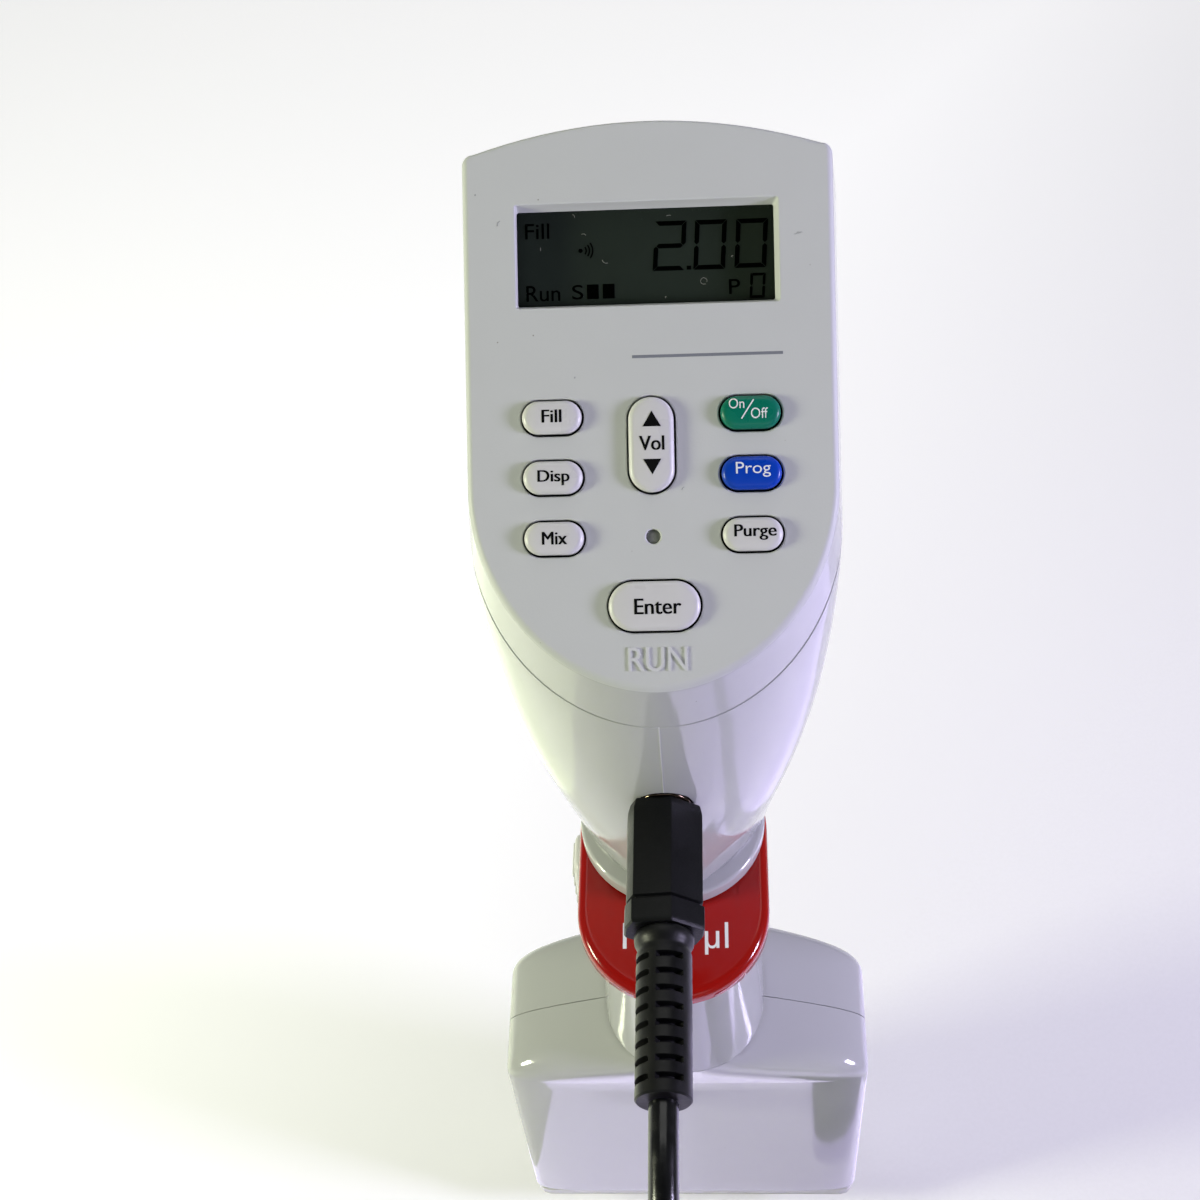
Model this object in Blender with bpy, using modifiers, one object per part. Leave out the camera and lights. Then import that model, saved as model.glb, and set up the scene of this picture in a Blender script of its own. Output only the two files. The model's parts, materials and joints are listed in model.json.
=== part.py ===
"""Electronic eight-channel pipette, built as the assembly that it is.

Metres, +Z up, the user in front at -Y. The origin is where the finger hook rests: the middle of the hook's
flat underside. The handle's axis stands behind it. Two empties carry the pieces: one on the handle's axis at
the hook's height, and one on the near edge of the sloping face, whose z axis is the face's normal.
"""

import math

import bmesh
import bpy
from mathutils import Vector

# Face and head
FACE_TILT = 36.0
FACE_LENGTH = 0.0942
HEAD_WIDTH = 0.0618
FACE_CROWN = 0.0052
FACE_CORNER = 0.0018
NOSE_LENGTH = 0.034
NOSE_POWER = 1.94
FACE_NEAR_Y = -0.0195
FACE_NEAR_Z = 0.084
SKIRT_DROP = 0.010
SKIRT_DRAFT = 0.0008
EDGE_ROUND = 0.0011
COVER_WALL = 0.0018

# Body shells below the face
SHELL_WALL = 0.002
HEAD_WALL_DROP = 0.026
BODY_END_Z = 0.0095
BODY_END_WIDTH = 0.0378
BODY_END_FRONT = -0.0187
BODY_END_BACK = 0.019
BODY_END_POWER = 1.3
BODY_BULGE = 0.0012
SEAM_RUN = 0.2
UNDERCUT_UPPER = 0.025
UNDERCUT_LOWER_Y = 0.023
UNDERCUT_LOWER_Z = 0.052

# Neck, collar and hook
NECK_RADIUS = 0.0155
COLLAR_RADIUS = 0.0187
COLLAR_ROUND = 0.0008
HOOK_RADIUS = 0.0192
HOOK_REACH = 0.0375
HOOK_THICKNESS = 0.0056
HOOK_EDGE = 0.0015
HOOK_SLOPE = 0.35
HOOK_RELIEF = 0.0003
HANDLE_AXIS_Y = 0.028

# Grip
GRIP_WIDTH = 0.0378
GRIP_WAIST = 0.0352
GRIP_FRONT = -0.020
GRIP_BACK = 0.0208
GRIP_LENGTH = 0.074
GRIP_POWER = 2.2
GRIP_CORNER = 0.015
GRIP_CROWN = 0.0015
GRIP_ROUND = 0.0022
GRIP_ROUND_DEPTH = 0.005

# Clearances
GAP = 0.0003
SLIDE_GAP = 0.0004
KEY_GAP = 0.00035

# Face pieces, placed on the face from its near edge
WINDOW_WIDTH = 0.0428
WINDOW_HEIGHT = 0.0161
WINDOW_Y = 0.7633 * FACE_LENGTH
WINDOW_CORNER = 0.0008
WINDOW_SLOPE = 0.0006
WINDOW_PLATE = 0.0011
WINDOW_LAP = 0.002
WINDOW_PLATE_CORNER = 0.002
KEY_WIDTH = 0.0099
KEY_HEIGHT = 0.0055
KEY_RISE = 0.0012
KEY_TRAVEL = 0.0009
KEY_FLANGE = 0.001
KEY_FLANGE_LAP = 0.0009
KEY_EDGE = 0.0009
KEY_COLUMN = 0.01645
KEY_ROWS_Y = (0.483 * FACE_LENGTH, 0.3769 * FACE_LENGTH, 0.2696 * FACE_LENGTH)
VOLUME_WIDTH = 0.0075
VOLUME_HEIGHT = 0.0158
VOLUME_Y = 0.431 * FACE_LENGTH
VOLUME_AXLE = 0.004
ENTER_WIDTH = 0.0152
ENTER_HEIGHT = 0.0082
ENTER_Y = 0.1476 * FACE_LENGTH
LIGHT_RADIUS = 0.0012
LIGHT_Y = KEY_ROWS_Y[2]

# Stack behind the face, depths below its surface
MAT_MARGIN = 0.0062
MAT_WIDTH = 0.0464
MAT_BACK_Y = 0.5786 * FACE_LENGTH
BOARD_DEPTH = 0.007
BOARD_THICKNESS = 0.0016
BOARD_WIDTH = 0.056
BOARD_NEAR_Y = 0.003
BOARD_FAR_Y = 0.8524 * FACE_LENGTH
POST_X = 0.0258
POST_ROWS_Y = (0.3609 * FACE_LENGTH, 0.8227 * FACE_LENGTH)
POST_RADIUS = 0.0017
CELL_RADIUS = 0.00725
CELL_LENGTH = 0.0505
CELL_COUNT = 3
TRAY_WALL = 0.0014
TRAY_NEAR_Y = 0.207 * FACE_LENGTH

# Charging socket, plug and lead
JACK_Z = 0.0478
JACK_WALL_Y = -0.0205
RING_RADIUS = 0.005
RING_BORE = 0.0036
RING_PROUD = 0.001
SOCKET_SIZE = 0.012
SOCKET_LENGTH = 0.0125
SOCKET_BACK_OFF = 0.0046
PLUG_TIP_RADIUS = 0.0028
PLUG_TIP_LENGTH = 0.0095
PLUG_LENGTH = 0.0255
PLUG_HALF_WIDTH = 0.0065
PLUG_SHOULDER = 0.0031
PLUG_RIDGE = 0.0054
PLUG_FLARE = 0.06
PLUG_GROOVE_AT = 0.0205
PLUG_GROOVE = 0.0005
SLEEVE_LENGTH = 0.028
SLEEVE_RADIUS = 0.00475
SLEEVE_NECK = 0.0037
SLEEVE_HEAD = 0.0055
SLEEVE_HEAD_LENGTH = 0.004
SLEEVE_RINGS = 8
CORD_RADIUS = 0.0025
BENCH_Z = -0.1823
COIL_CENTRE = (-0.003, -0.062)
COIL_COLUMNS = 4
COIL_LAYERS = 2
COIL_MIDDLE_RADIUS = 0.029
ADAPTER_SIZE = (0.036, 0.046, 0.027)
ADAPTER_NECK = 0.008
ADAPTER_NECK_RADIUS = 0.0045
ADAPTER_EDGE = 0.0012
ADAPTER_BLADE = (0.0015, 0.0063, 0.016)
ADAPTER_BLADE_SPREAD = 0.0127

# Run trigger
TRIGGER_WIDTH = 0.014
TRIGGER_TOP_Z = 0.060
TRIGGER_BOTTOM_Z = 0.030
TRIGGER_PROUD = 0.0032
TRIGGER_BACKING = 0.0012
TRIGGER_TAB = 0.005
TRIGGER_SWING = 6.0
TRIGGER_LIP = 0.12
TRIGGER_EDGE = 0.0008
SWITCH_SIZE = (0.0126, 0.006, 0.008)
SWITCH_Z = 0.0345
SWITCH_ROOM = 0.0004
SHELF_THICKNESS = 0.005

# Drive
DRIVE_Y = -0.003
MOTOR_RADIUS = 0.012
MOTOR_TOP_Z = -0.034
MOTOR_LENGTH = 0.030
MOTOR_CAP = 0.003
MOTOR_CAVITY_RADIUS = 0.0086
MOTOR_HOLE_RADIUS = 0.0037
ROTOR_RADIUS = 0.0081
ROTOR_BORE_RADIUS = 0.0033
BRACKET_THICKNESS = 0.003
SCREW_RADIUS = 0.0025
SCREW_TOP_Z = -0.041
PISTON_STROKE = 0.028
CARRIAGE_TOP_Z = -0.120
CARRIAGE_SIZE = (0.074, 0.012, 0.005)
CARRIAGE_BOSS_RADIUS = 0.005
CARRIAGE_BOSS_HEIGHT = 0.004
CHANNELS = 8
CHANNEL_PITCH = 0.009
PISTON_RADIUS = 0.0038
PISTON_HEAD_RADIUS = 0.0042
PISTON_HEAD = 0.0009
PISTON_HOLD = 0.0037
BORE_ROOM = 0.0015
BORE_CONE = 0.0006
BORE_CLEARANCE = 0.0002

# Cylinder block, nozzles and their covers
BLOCK_TOP_Z = -0.128
BLOCK_HEIGHT = 0.034
BLOCK_DEPTH = 0.014
SEAL_THICKNESS = 0.0012
NOZZLE_LENGTH = 0.0197
NOZZLE_FLANGE_RADIUS = 0.004
NOZZLE_FLANGE = 0.0009
NOZZLE_RADIUS = 0.0031
NOZZLE_TIP_RADIUS = 0.0026
NOZZLE_BORE_RADIUS = 0.0013
MANIFOLD_WIDTH = 0.087
MANIFOLD_FRONT = -0.017
MANIFOLD_BACK = 0.015
MANIFOLD_SPLIT_Y = -0.001
MANIFOLD_POWER = 7.0
MANIFOLD_CORNER = 0.004
MANIFOLD_NOSE = 0.008
STRIP_MARGIN = 0.001
MANIFOLD_WALL = 0.0018
SHOULDER_HEIGHT = 0.014
COVER_SCREW_X = 0.038
COVER_SCREW_Z = -0.150
COVER_SCREW_RADIUS = 0.001
COVER_SCREW_HEAD = 0.0021
COVER_SCREW_HEAD_HEIGHT = 0.0012
COVER_SCREW_BITE = 0.005
COVER_BOSS_RADIUS = 0.003

# Ejector
EJECT_STROKE = 0.009
EJECT_X = -0.006
EJECT_Y = 0.01145
ROD_RADIUS = 0.0015
ROD_FLANGE_RADIUS = 0.0031
ROD_FLANGE_Z = -0.047
ROD_FLANGE = 0.001
SPRING_RADIUS = 0.0026
SPRING_WIRE = 0.0004
SPRING_TURNS = 6
EJECTOR_PLATE_TOP_Z = -0.104
EJECTOR_PLATE_WIDTH = 0.060
EJECTOR_PLATE_THICKNESS = 0.0022
EJECTOR_BAR_WIDTH = 0.084
EJECTOR_BAR_THICKNESS = 0.004
EJECTOR_BAR_MARGIN = 0.0005
EJECTOR_BAR_EDGE = 0.0006
BUTTON_PAD = (0.0024, 0.011, 0.020)
BUTTON_PAD_Z = -0.020
BUTTON_Y = 0.003
BUTTON_STEM = (0.005, 0.007)
BUTTON_STEM_Z = -0.0205
BUTTON_ARM_THICKNESS = 0.003
BUTTON_RIBS = 4
BUTTON_RIB = 0.0006
BUTTON_EDGE = 0.0012

# Mesh steps
NOSE_STEPS = 8
CORNER_STEPS = 3
CROWN_STEPS = 2
STADIUM_STEPS = 3
ROUND_STEPS = 18
SMALL_STEPS = 12
LARGE_STEPS = 28
CHANNEL_STEPS = 10
SPRING_STEPS = 7
TRIGGER_STEPS = 6
MERGE = 0.00001
LEAST_CORNER = 0.0002
REACH = 0.02
WELL_PAST = 0.4

TILT = math.radians(FACE_TILT)
SKIRT_DEPTH = SKIRT_DROP * math.cos(TILT)
GRIP_TOP_Z = HOOK_RELIEF - GAP
NOZZLE_TOP_Z = BLOCK_TOP_Z - BLOCK_HEIGHT - GAP
BRACKET_TOP_Z = MOTOR_TOP_Z - MOTOR_LENGTH - GAP
PISTON_LENGTH = PISTON_STROKE + PISTON_HOLD
PISTON_TOP_Z = CARRIAGE_TOP_Z - CARRIAGE_SIZE[2] - GAP
BORE_DEPTH = BLOCK_TOP_Z - PISTON_TOP_Z + PISTON_LENGTH + BORE_ROOM
BAR_TOP_Z = NOZZLE_TOP_Z - NOZZLE_FLANGE - GAP
MANIFOLD_END_Z = BAR_TOP_Z + SLIDE_GAP
KEY_UNDER = -COVER_WALL - GAP
MAT_TOP = KEY_UNDER - KEY_FLANGE - KEY_TRAVEL - GAP

COLOURS = {
    "cover_grey": ((0.62, 0.64, 0.64), 0.42, 0.0),
    "body_white": ((0.80, 0.81, 0.79), 0.22, 0.0),
    "key_white": ((0.82, 0.82, 0.80), 0.35, 0.0),
    "key_green": ((0.02, 0.22, 0.15), 0.35, 0.0),
    "key_blue": ((0.01, 0.07, 0.48), 0.35, 0.0),
    "hook_red": ((0.36, 0.01, 0.01), 0.18, 0.0),
    "display_grey": ((0.06, 0.07, 0.06), 0.25, 0.0),
    "window_clear": ((0.75, 0.78, 0.76), 0.05, 0.0),
    "black_plastic": ((0.015, 0.016, 0.017), 0.55, 0.0),
    "black_rubber": ((0.02, 0.02, 0.02), 0.6, 0.0),
    "mat_rubber": ((0.35, 0.36, 0.36), 0.7, 0.0),
    "board_green": ((0.02, 0.16, 0.07), 0.5, 0.0),
    "cell_wrap": ((0.05, 0.18, 0.10), 0.4, 0.0),
    "steel": ((0.62, 0.61, 0.58), 0.28, 1.0),
    "channel_white": ((0.70, 0.71, 0.69), 0.4, 0.0),
    "light_clear": ((0.20, 0.22, 0.21), 0.2, 0.0),
}


def make_material(name):
    """Principled material with the piece's own colour, roughness and metallic value."""
    if name in bpy.data.materials:
        return bpy.data.materials[name]
    colour, roughness, metallic = COLOURS[name]
    material = bpy.data.materials.new(name)
    material.use_nodes = True
    shader = material.node_tree.nodes["Principled BSDF"]
    shader.inputs["Base Color"].default_value = (*colour, 1.0)
    shader.inputs["Roughness"].default_value = roughness
    shader.inputs["Metallic"].default_value = metallic
    return material


def add_object(name, mesh, material, carrier, place=(0, 0, 0), turn=(0, 0, 0)):
    """Put a mesh in the pipette's collection, on the empty that carries it."""
    piece = bpy.data.objects.new(name, mesh)
    parts.objects.link(piece)
    if material:
        mesh.materials.append(make_material(material))
    piece.parent = carrier
    piece.location = place
    piece.rotation_euler = [math.radians(angle) for angle in turn]
    return piece


def as_tool(piece):
    """Move a piece to the cutters, where it only shapes others."""
    parts.objects.unlink(piece)
    cutters.objects.link(piece)
    piece.hide_render = True
    piece.display_type = "WIRE"
    return piece


def combine(target, tool, operation):
    """Live Boolean on a target, by a tool that stays in the cutters."""
    if tool.name not in cutters.objects:
        as_tool(tool)
    step = target.modifiers.new(operation.lower() + "_" + tool.name, "BOOLEAN")
    step.solver = "EXACT"
    step.operation = operation
    step.object = tool


def cut(target, tool):
    combine(target, tool, "DIFFERENCE")


def join(target, tool):
    combine(target, tool, "UNION")


def smooth(mesh, angle=35.0):
    mesh.shade_smooth()
    mesh.set_sharp_from_angle(angle=math.radians(angle))


def skin(name, rings, material, carrier, place=(0, 0, 0), turn=(0, 0, 0)):
    """Closed solid through rings of points, each mirrored about x = 0. Strips across x close its ends."""
    count = len(rings[0])
    on_middle = abs(rings[0][0][0]) < MERGE
    strips = count // 2 if on_middle else count // 2 - 1
    turn_back = count if on_middle else count - 1
    points = [point for ring in rings for point in ring]
    faces = []
    for row in range(len(rings) - 1):
        for i in range(count):
            j = (i + 1) % count
            low = row * count
            high = low + count
            faces.append((low + i, high + i, high + j, low + j))
    for start in (0, (len(rings) - 1) * count):
        for i in range(strips):
            corners = [i, i + 1, (turn_back - i - 1) % count, (turn_back - i) % count]
            faces.append([start + corner for corner in dict.fromkeys(corners)])
    mesh = bpy.data.meshes.new(name)
    mesh.from_pydata(points, [], faces)
    body = bmesh.new()
    body.from_mesh(mesh)
    bmesh.ops.triangulate(body, faces=body.faces)
    bmesh.ops.recalc_face_normals(body, faces=body.faces)
    body.to_mesh(mesh)
    body.free()
    smooth(mesh)
    return add_object(name, mesh, material, carrier, place, turn)


def mirrored(side):
    """Whole outline from its half at +x, which runs from the near end to the far one."""
    points = [side[0]]
    for point in side[1:]:
        if math.dist(point, points[-1]) > MERGE:
            points.append(point)
    return points + [(-x, y) for x, y in reversed(points) if x > MERGE]


def nosed_outline(width, front, back, nose, power, corner, crown):
    """Superellipse nose, straight sides, round corners and an arched far edge."""
    half = width / 2
    corner = min(corner, 0.9 * half)
    corner_y = back - crown * ((half - corner) / half) ** 2 - corner
    side = []
    for i in range(NOSE_STEPS + 1):
        turn = math.pi / 2 * i / NOSE_STEPS
        rise = 1 - math.cos(turn) ** (2 / power)
        side.append((half * math.sin(turn) ** (2 / power), front + nose * rise))
    side[-1] = (half, front + nose)
    for i in range(CORNER_STEPS + 1):
        turn = math.pi / 2 * i / CORNER_STEPS
        side.append((half - corner + corner * math.cos(turn), corner_y + corner * math.sin(turn)))
    for i in range(1, CROWN_STEPS + 1 if crown else 1):
        x = (half - corner) * (1 - i / CROWN_STEPS)
        side.append((x, back - crown * (x / half) ** 2))
    return mirrored(side)


def rounded_outline(width, height, corner, steps=STADIUM_STEPS):
    """Rectangle with round corners, a stadium where the corner is half the height."""
    half_x = width / 2
    half_y = height / 2
    corner = min(corner, half_x, half_y)
    side = []
    for centre_y, start in ((corner - half_y, -90), (half_y - corner, 0)):
        for i in range(steps + 1):
            turn = math.radians(start + 90 * i / steps)
            side.append((half_x - corner + corner * math.cos(turn), centre_y + corner * math.sin(turn)))
    return mirrored(side)


def level(outline, z):
    return [(x, y, z) for x, y in outline]


def prism(name, size, corner, levels, material, carrier, place=(0, 0, 0), turn=(0, 0, 0),
          steps=STADIUM_STEPS):
    """Rounded rectangle raised through levels, each a height and the outline's inset there."""
    rings = []
    for z, inset in levels:
        corner_here = max(corner - inset, LEAST_CORNER)
        outline = rounded_outline(size[0] - 2 * inset, size[1] - 2 * inset, corner_here, steps)
        rings.append(level(outline, z))
    return skin(name, rings, material, carrier, place, turn)


def box(name, low, high, material, carrier):
    """Plain block between two corners."""
    mesh = bpy.data.meshes.new(name)
    body = bmesh.new()
    bmesh.ops.create_cube(body, size=1.0)
    for vert in body.verts:
        vert.co = [lo + (c + 0.5) * (hi - lo) for c, lo, hi in zip(vert.co, low, high)]
    body.to_mesh(mesh)
    body.free()
    return add_object(name, mesh, material, carrier)


def turned(name, profile, material, carrier, place=(0, 0, 0), turn=(0, 0, 0), steps=ROUND_STEPS,
           ring=False):
    """Profile of radius and height, top to bottom on its outer side, spun about z. A ring's closes."""
    mesh = bpy.data.meshes.new(name)
    edges = [(i, i + 1) for i in range(len(profile) - 1)]
    if ring:
        edges.append((len(profile) - 1, 0))
    mesh.from_pydata([(radius, 0, z) for radius, z in profile], edges, [])
    piece = add_object(name, mesh, material, carrier, place, turn)
    spin = piece.modifiers.new("spin", "SCREW")
    spin.steps = steps
    spin.render_steps = steps
    spin.use_merge_vertices = True
    spin.merge_threshold = MERGE
    spin.use_smooth_shade = True
    return piece


def rod(name, radius, high, low, material, carrier, place=(0, 0, 0), turn=(0, 0, 0), steps=SMALL_STEPS):
    """Plain cylinder between two heights."""
    return turned(name, [(0, high), (radius, high), (radius, low), (0, low)], material, carrier, place, turn,
                  steps)


def extruded(name, outline, direction, material, carrier, place=(0, 0, 0)):
    """Flat outline of 3D points pushed along a direction."""
    mesh = bpy.data.meshes.new(name)
    body = bmesh.new()
    face = body.faces.new([body.verts.new(point) for point in outline])
    pushed = bmesh.ops.extrude_face_region(body, geom=[face])
    moved = [item for item in pushed["geom"] if isinstance(item, bmesh.types.BMVert)]
    bmesh.ops.translate(body, vec=Vector(direction), verts=moved)
    bmesh.ops.recalc_face_normals(body, faces=body.faces)
    body.to_mesh(mesh)
    body.free()
    return add_object(name, mesh, material, carrier, place)


def soften(piece, width, segments=2):
    """Small round on a piece's sharp edges."""
    bevel = piece.modifiers.new("edge", "BEVEL")
    bevel.width = width
    bevel.segments = segments
    bevel.limit_method = "ANGLE"
    bevel.angle_limit = math.radians(40)


def shell_head_outline(depth, inset):
    """Head's outline at a depth below the face. Its walls run straight down, so they shift along the face."""
    shift = depth * math.tan(TILT)
    return nosed_outline(HEAD_WIDTH - 2 * inset, inset - shift, FACE_LENGTH - inset - shift,
                         NOSE_LENGTH - inset, NOSE_POWER, max(FACE_CORNER - inset, LEAST_CORNER), FACE_CROWN)


def head_ring(depth, inset):
    return level(shell_head_outline(depth, inset), -depth)


def on_face(y, depth):
    """Handle-frame y and z of a point on the face's middle line."""
    return (FACE_NEAR_Y + y * math.cos(TILT) + depth * math.sin(TILT),
            FACE_NEAR_Z + y * math.sin(TILT) - depth * math.cos(TILT))


def blend(start, end, share):
    return start + (end - start) * share


def far_wall(share):
    """Far wall's line: straight down from the seam, then a curve under the head into the grip."""
    top = on_face(FACE_LENGTH + SKIRT_DRAFT - (SKIRT_DEPTH + GAP) * math.tan(TILT), SKIRT_DEPTH + GAP)
    if share <= SEAM_RUN:
        return (top[0], top[1] - HEAD_WALL_DROP * share / SEAM_RUN)
    t = (share - SEAM_RUN) / (1 - SEAM_RUN)
    ends = ((top[0], top[1] - HEAD_WALL_DROP), (top[0], top[1] - HEAD_WALL_DROP - UNDERCUT_UPPER),
            (UNDERCUT_LOWER_Y, UNDERCUT_LOWER_Z), (BODY_END_BACK, BODY_END_Z))
    weights = ((1 - t) ** 3, 3 * t * (1 - t) ** 2, 3 * t * t * (1 - t), t ** 3)
    return tuple(sum(w * end[axis] for w, end in zip(weights, ends)) for axis in (0, 1))


def far_wall_at(z):
    """Far wall's y at a height, found by halving."""
    low, high = 0.0, 1.0
    for _ in range(40):
        middle = (low + high) / 2
        if far_wall(middle)[1] > z:
            low = middle
        else:
            high = middle
    return far_wall(low)[0]


def near_wall(share):
    """Near wall's line, from the seam down to the collar with a slight bulge."""
    top = on_face(-SKIRT_DRAFT - (SKIRT_DEPTH + GAP) * math.tan(TILT), SKIRT_DEPTH + GAP)
    bulge = 4 * share * (1 - share) * BODY_BULGE
    return (blend(top[0], BODY_END_FRONT, share) - bulge, blend(top[1], BODY_END_Z, share))


def body_ring(share, inset, lift=0.0):
    """Section of the body on a plane that turns from the seam's slope to level at the collar."""
    near = Vector(near_wall(share))
    far = Vector(far_wall(share))
    along = (far - near).normalized()
    length = (far - near).length
    width = blend(HEAD_WIDTH + 2 * SKIRT_DRAFT, BODY_END_WIDTH, share ** 1.8)
    nose = blend(NOSE_LENGTH, BODY_END_WIDTH / 2, share)
    power = blend(NOSE_POWER, BODY_END_POWER, share ** 2)
    corner = blend(FACE_CORNER, 0.45 * BODY_END_WIDTH, share ** 1.2)
    crown = blend(FACE_CROWN, 0.05 * BODY_END_WIDTH, share)
    outline = nosed_outline(width - 2 * inset, inset, length - inset, nose - inset, power,
                            max(corner - inset, LEAST_CORNER), crown)
    ring = []
    for x, s in outline:
        y, z = near + along * s
        ring.append((x, y, z + lift))
    return ring


def neck_ring(radius, z):
    """Circle with as many points as the sections above and below it."""
    steps = NOSE_STEPS + CORNER_STEPS + CROWN_STEPS + 1
    turns = [math.pi * i / steps for i in range(steps + 1)]
    return level(mirrored([(radius * math.sin(turn), -radius * math.cos(turn)) for turn in turns]), z)


def grip_ring(z, inset):
    """Grip's oval section at a height, narrowest half way down."""
    share = min(max(-z / GRIP_LENGTH, 0.0), 1.0)
    width = GRIP_WIDTH - (GRIP_WIDTH - GRIP_WAIST) * math.sin(math.pi * share)
    outline = nosed_outline(width - 2 * inset, GRIP_FRONT + inset, GRIP_BACK - inset,
                            (GRIP_BACK - GRIP_FRONT) / 2 - inset, GRIP_POWER, GRIP_CORNER - inset, GRIP_CROWN)
    return level(outline, z)


def manifold_ring(share, z, inset):
    """Manifold's section: the grip's oval at share 0, a long rounded box at share 1."""
    ease = math.sin(math.pi / 2 * share)
    outline = nosed_outline(blend(GRIP_WIDTH, MANIFOLD_WIDTH, ease) - 2 * inset,
                            blend(GRIP_FRONT, MANIFOLD_FRONT, share) + inset,
                            blend(GRIP_BACK, MANIFOLD_BACK, share) - inset,
                            blend((GRIP_BACK - GRIP_FRONT) / 2, MANIFOLD_NOSE, ease) - inset,
                            blend(GRIP_POWER, MANIFOLD_POWER, share ** 2),
                            blend(GRIP_CORNER, MANIFOLD_CORNER, ease) - inset, 0.0)
    return level(outline, z)


def make_keypad_cover():
    """Face plate with its skirt: outer form less its core, then the openings. Posts hold the board."""
    rounding = 0.29 * EDGE_ROUND
    rings = [head_ring(0.0, EDGE_ROUND), head_ring(rounding, rounding), head_ring(EDGE_ROUND, 0.0),
             head_ring(SKIRT_DEPTH, -SKIRT_DRAFT)]
    cover = skin("keypad_cover", rings, "cover_grey", face)
    core = skin("cover_core", [head_ring(COVER_WALL, COVER_WALL),
                               head_ring(SKIRT_DEPTH + COVER_WALL, COVER_WALL - SKIRT_DRAFT)], None, face)
    for x in (-POST_X, POST_X):
        for y in POST_ROWS_Y:
            post = rod("cover_post", POST_RADIUS, 0, GAP - BOARD_DEPTH, None, face, (x, y, 0), steps=8)
            cut(core, post)
    cut(cover, core)
    window = prism("window_cutter", (WINDOW_WIDTH, WINDOW_HEIGHT), WINDOW_CORNER,
                   [(-COVER_WALL - GAP, WINDOW_SLOPE * 1.4), (GAP, -WINDOW_SLOPE * 0.2)], None, face,
                   (0, WINDOW_Y, 0))
    cut(cover, window)
    for name, x, y, width, height in KEYS:
        hole = prism(name + "_cutter", (width + 2 * KEY_GAP, height + 2 * KEY_GAP), width,
                     [(-COVER_WALL - KEY_GAP, 0), (KEY_GAP, 0)], None, face, (x, y, 0))
        cut(cover, hole)
    light = rod("light_cutter", LIGHT_RADIUS, GAP, -COVER_WALL - GAP, None, face, (0, LIGHT_Y, 0))
    cut(cover, light)


def make_keys():
    """Stadium caps with a flange under the cover. The volume key rocks on a short cross flange."""
    foot = KEY_UNDER - KEY_FLANGE
    for name, x, y, width, height in KEYS:
        levels = [(KEY_RISE, KEY_EDGE), (KEY_RISE - 0.3 * KEY_EDGE, 0.3 * KEY_EDGE),
                  (KEY_RISE - KEY_EDGE, 0.0)]
        if name != "key_volume":
            levels += [(KEY_UNDER, 0.0), (KEY_UNDER, -KEY_FLANGE_LAP)]
        levels.append((foot, 0.0 if name == "key_volume" else -KEY_FLANGE_LAP))
        colour = {"key_power": "key_green", "key_program": "key_blue"}.get(name, "key_white")
        key = prism(name, (width, height), width, levels, colour, face, (x, y, 0))
        if name == "key_volume":
            lap = width / 2 + KEY_FLANGE_LAP
            flange = box("volume_flange", (-lap, -VOLUME_AXLE / 2, KEY_UNDER - KEY_FLANGE * 0.9),
                         (lap, VOLUME_AXLE / 2, KEY_UNDER), None, key)
            join(key, flange)


def make_face_stack():
    """Window, display, light guide, rubber mat and board behind the cover."""
    lap = 2 * WINDOW_LAP
    prism("display_window", (WINDOW_WIDTH + lap, WINDOW_HEIGHT + lap), WINDOW_PLATE_CORNER,
          [(KEY_UNDER, 0.0), (KEY_UNDER - WINDOW_PLATE, 0.0)], "window_clear", face, (0, WINDOW_Y, 0))
    module_top = KEY_UNDER - WINDOW_PLATE - GAP
    prism("display_module", (WINDOW_WIDTH + lap * 1.2, WINDOW_HEIGHT + lap), WINDOW_PLATE_CORNER,
          [(module_top, 0.0), (GAP - BOARD_DEPTH, 0.0)], "display_grey", face, (0, WINDOW_Y, 0))
    mat_bottom = GAP - BOARD_DEPTH
    outline = nosed_outline(MAT_WIDTH, MAT_MARGIN, MAT_BACK_Y, NOSE_LENGTH - MAT_MARGIN, NOSE_POWER,
                            FACE_CORNER, 0.0)
    mat = skin("keypad_mat", [level(outline, MAT_TOP), level(outline, mat_bottom)], "mat_rubber", face)
    light_hole = rod("mat_light_cutter", LIGHT_RADIUS + KEY_GAP, 0, -BOARD_DEPTH, None, face, (0, LIGHT_Y, 0))
    cut(mat, light_hole)
    radius = LIGHT_RADIUS - GAP
    dome = radius / 2
    turned("status_light", [(0, -dome), (0.8 * radius, -1.2 * dome), (radius, -2 * dome),
                            (radius, mat_bottom), (0, mat_bottom)], "light_clear", face, (0, LIGHT_Y, 0),
           steps=SMALL_STEPS)
    board = nosed_outline(BOARD_WIDTH, BOARD_NEAR_Y, BOARD_FAR_Y, NOSE_LENGTH, NOSE_POWER, FACE_CORNER, 0.0)
    skin("circuit_board", [level(board, -BOARD_DEPTH), level(board, -BOARD_DEPTH - BOARD_THICKNESS)],
         "board_green", face)


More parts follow.
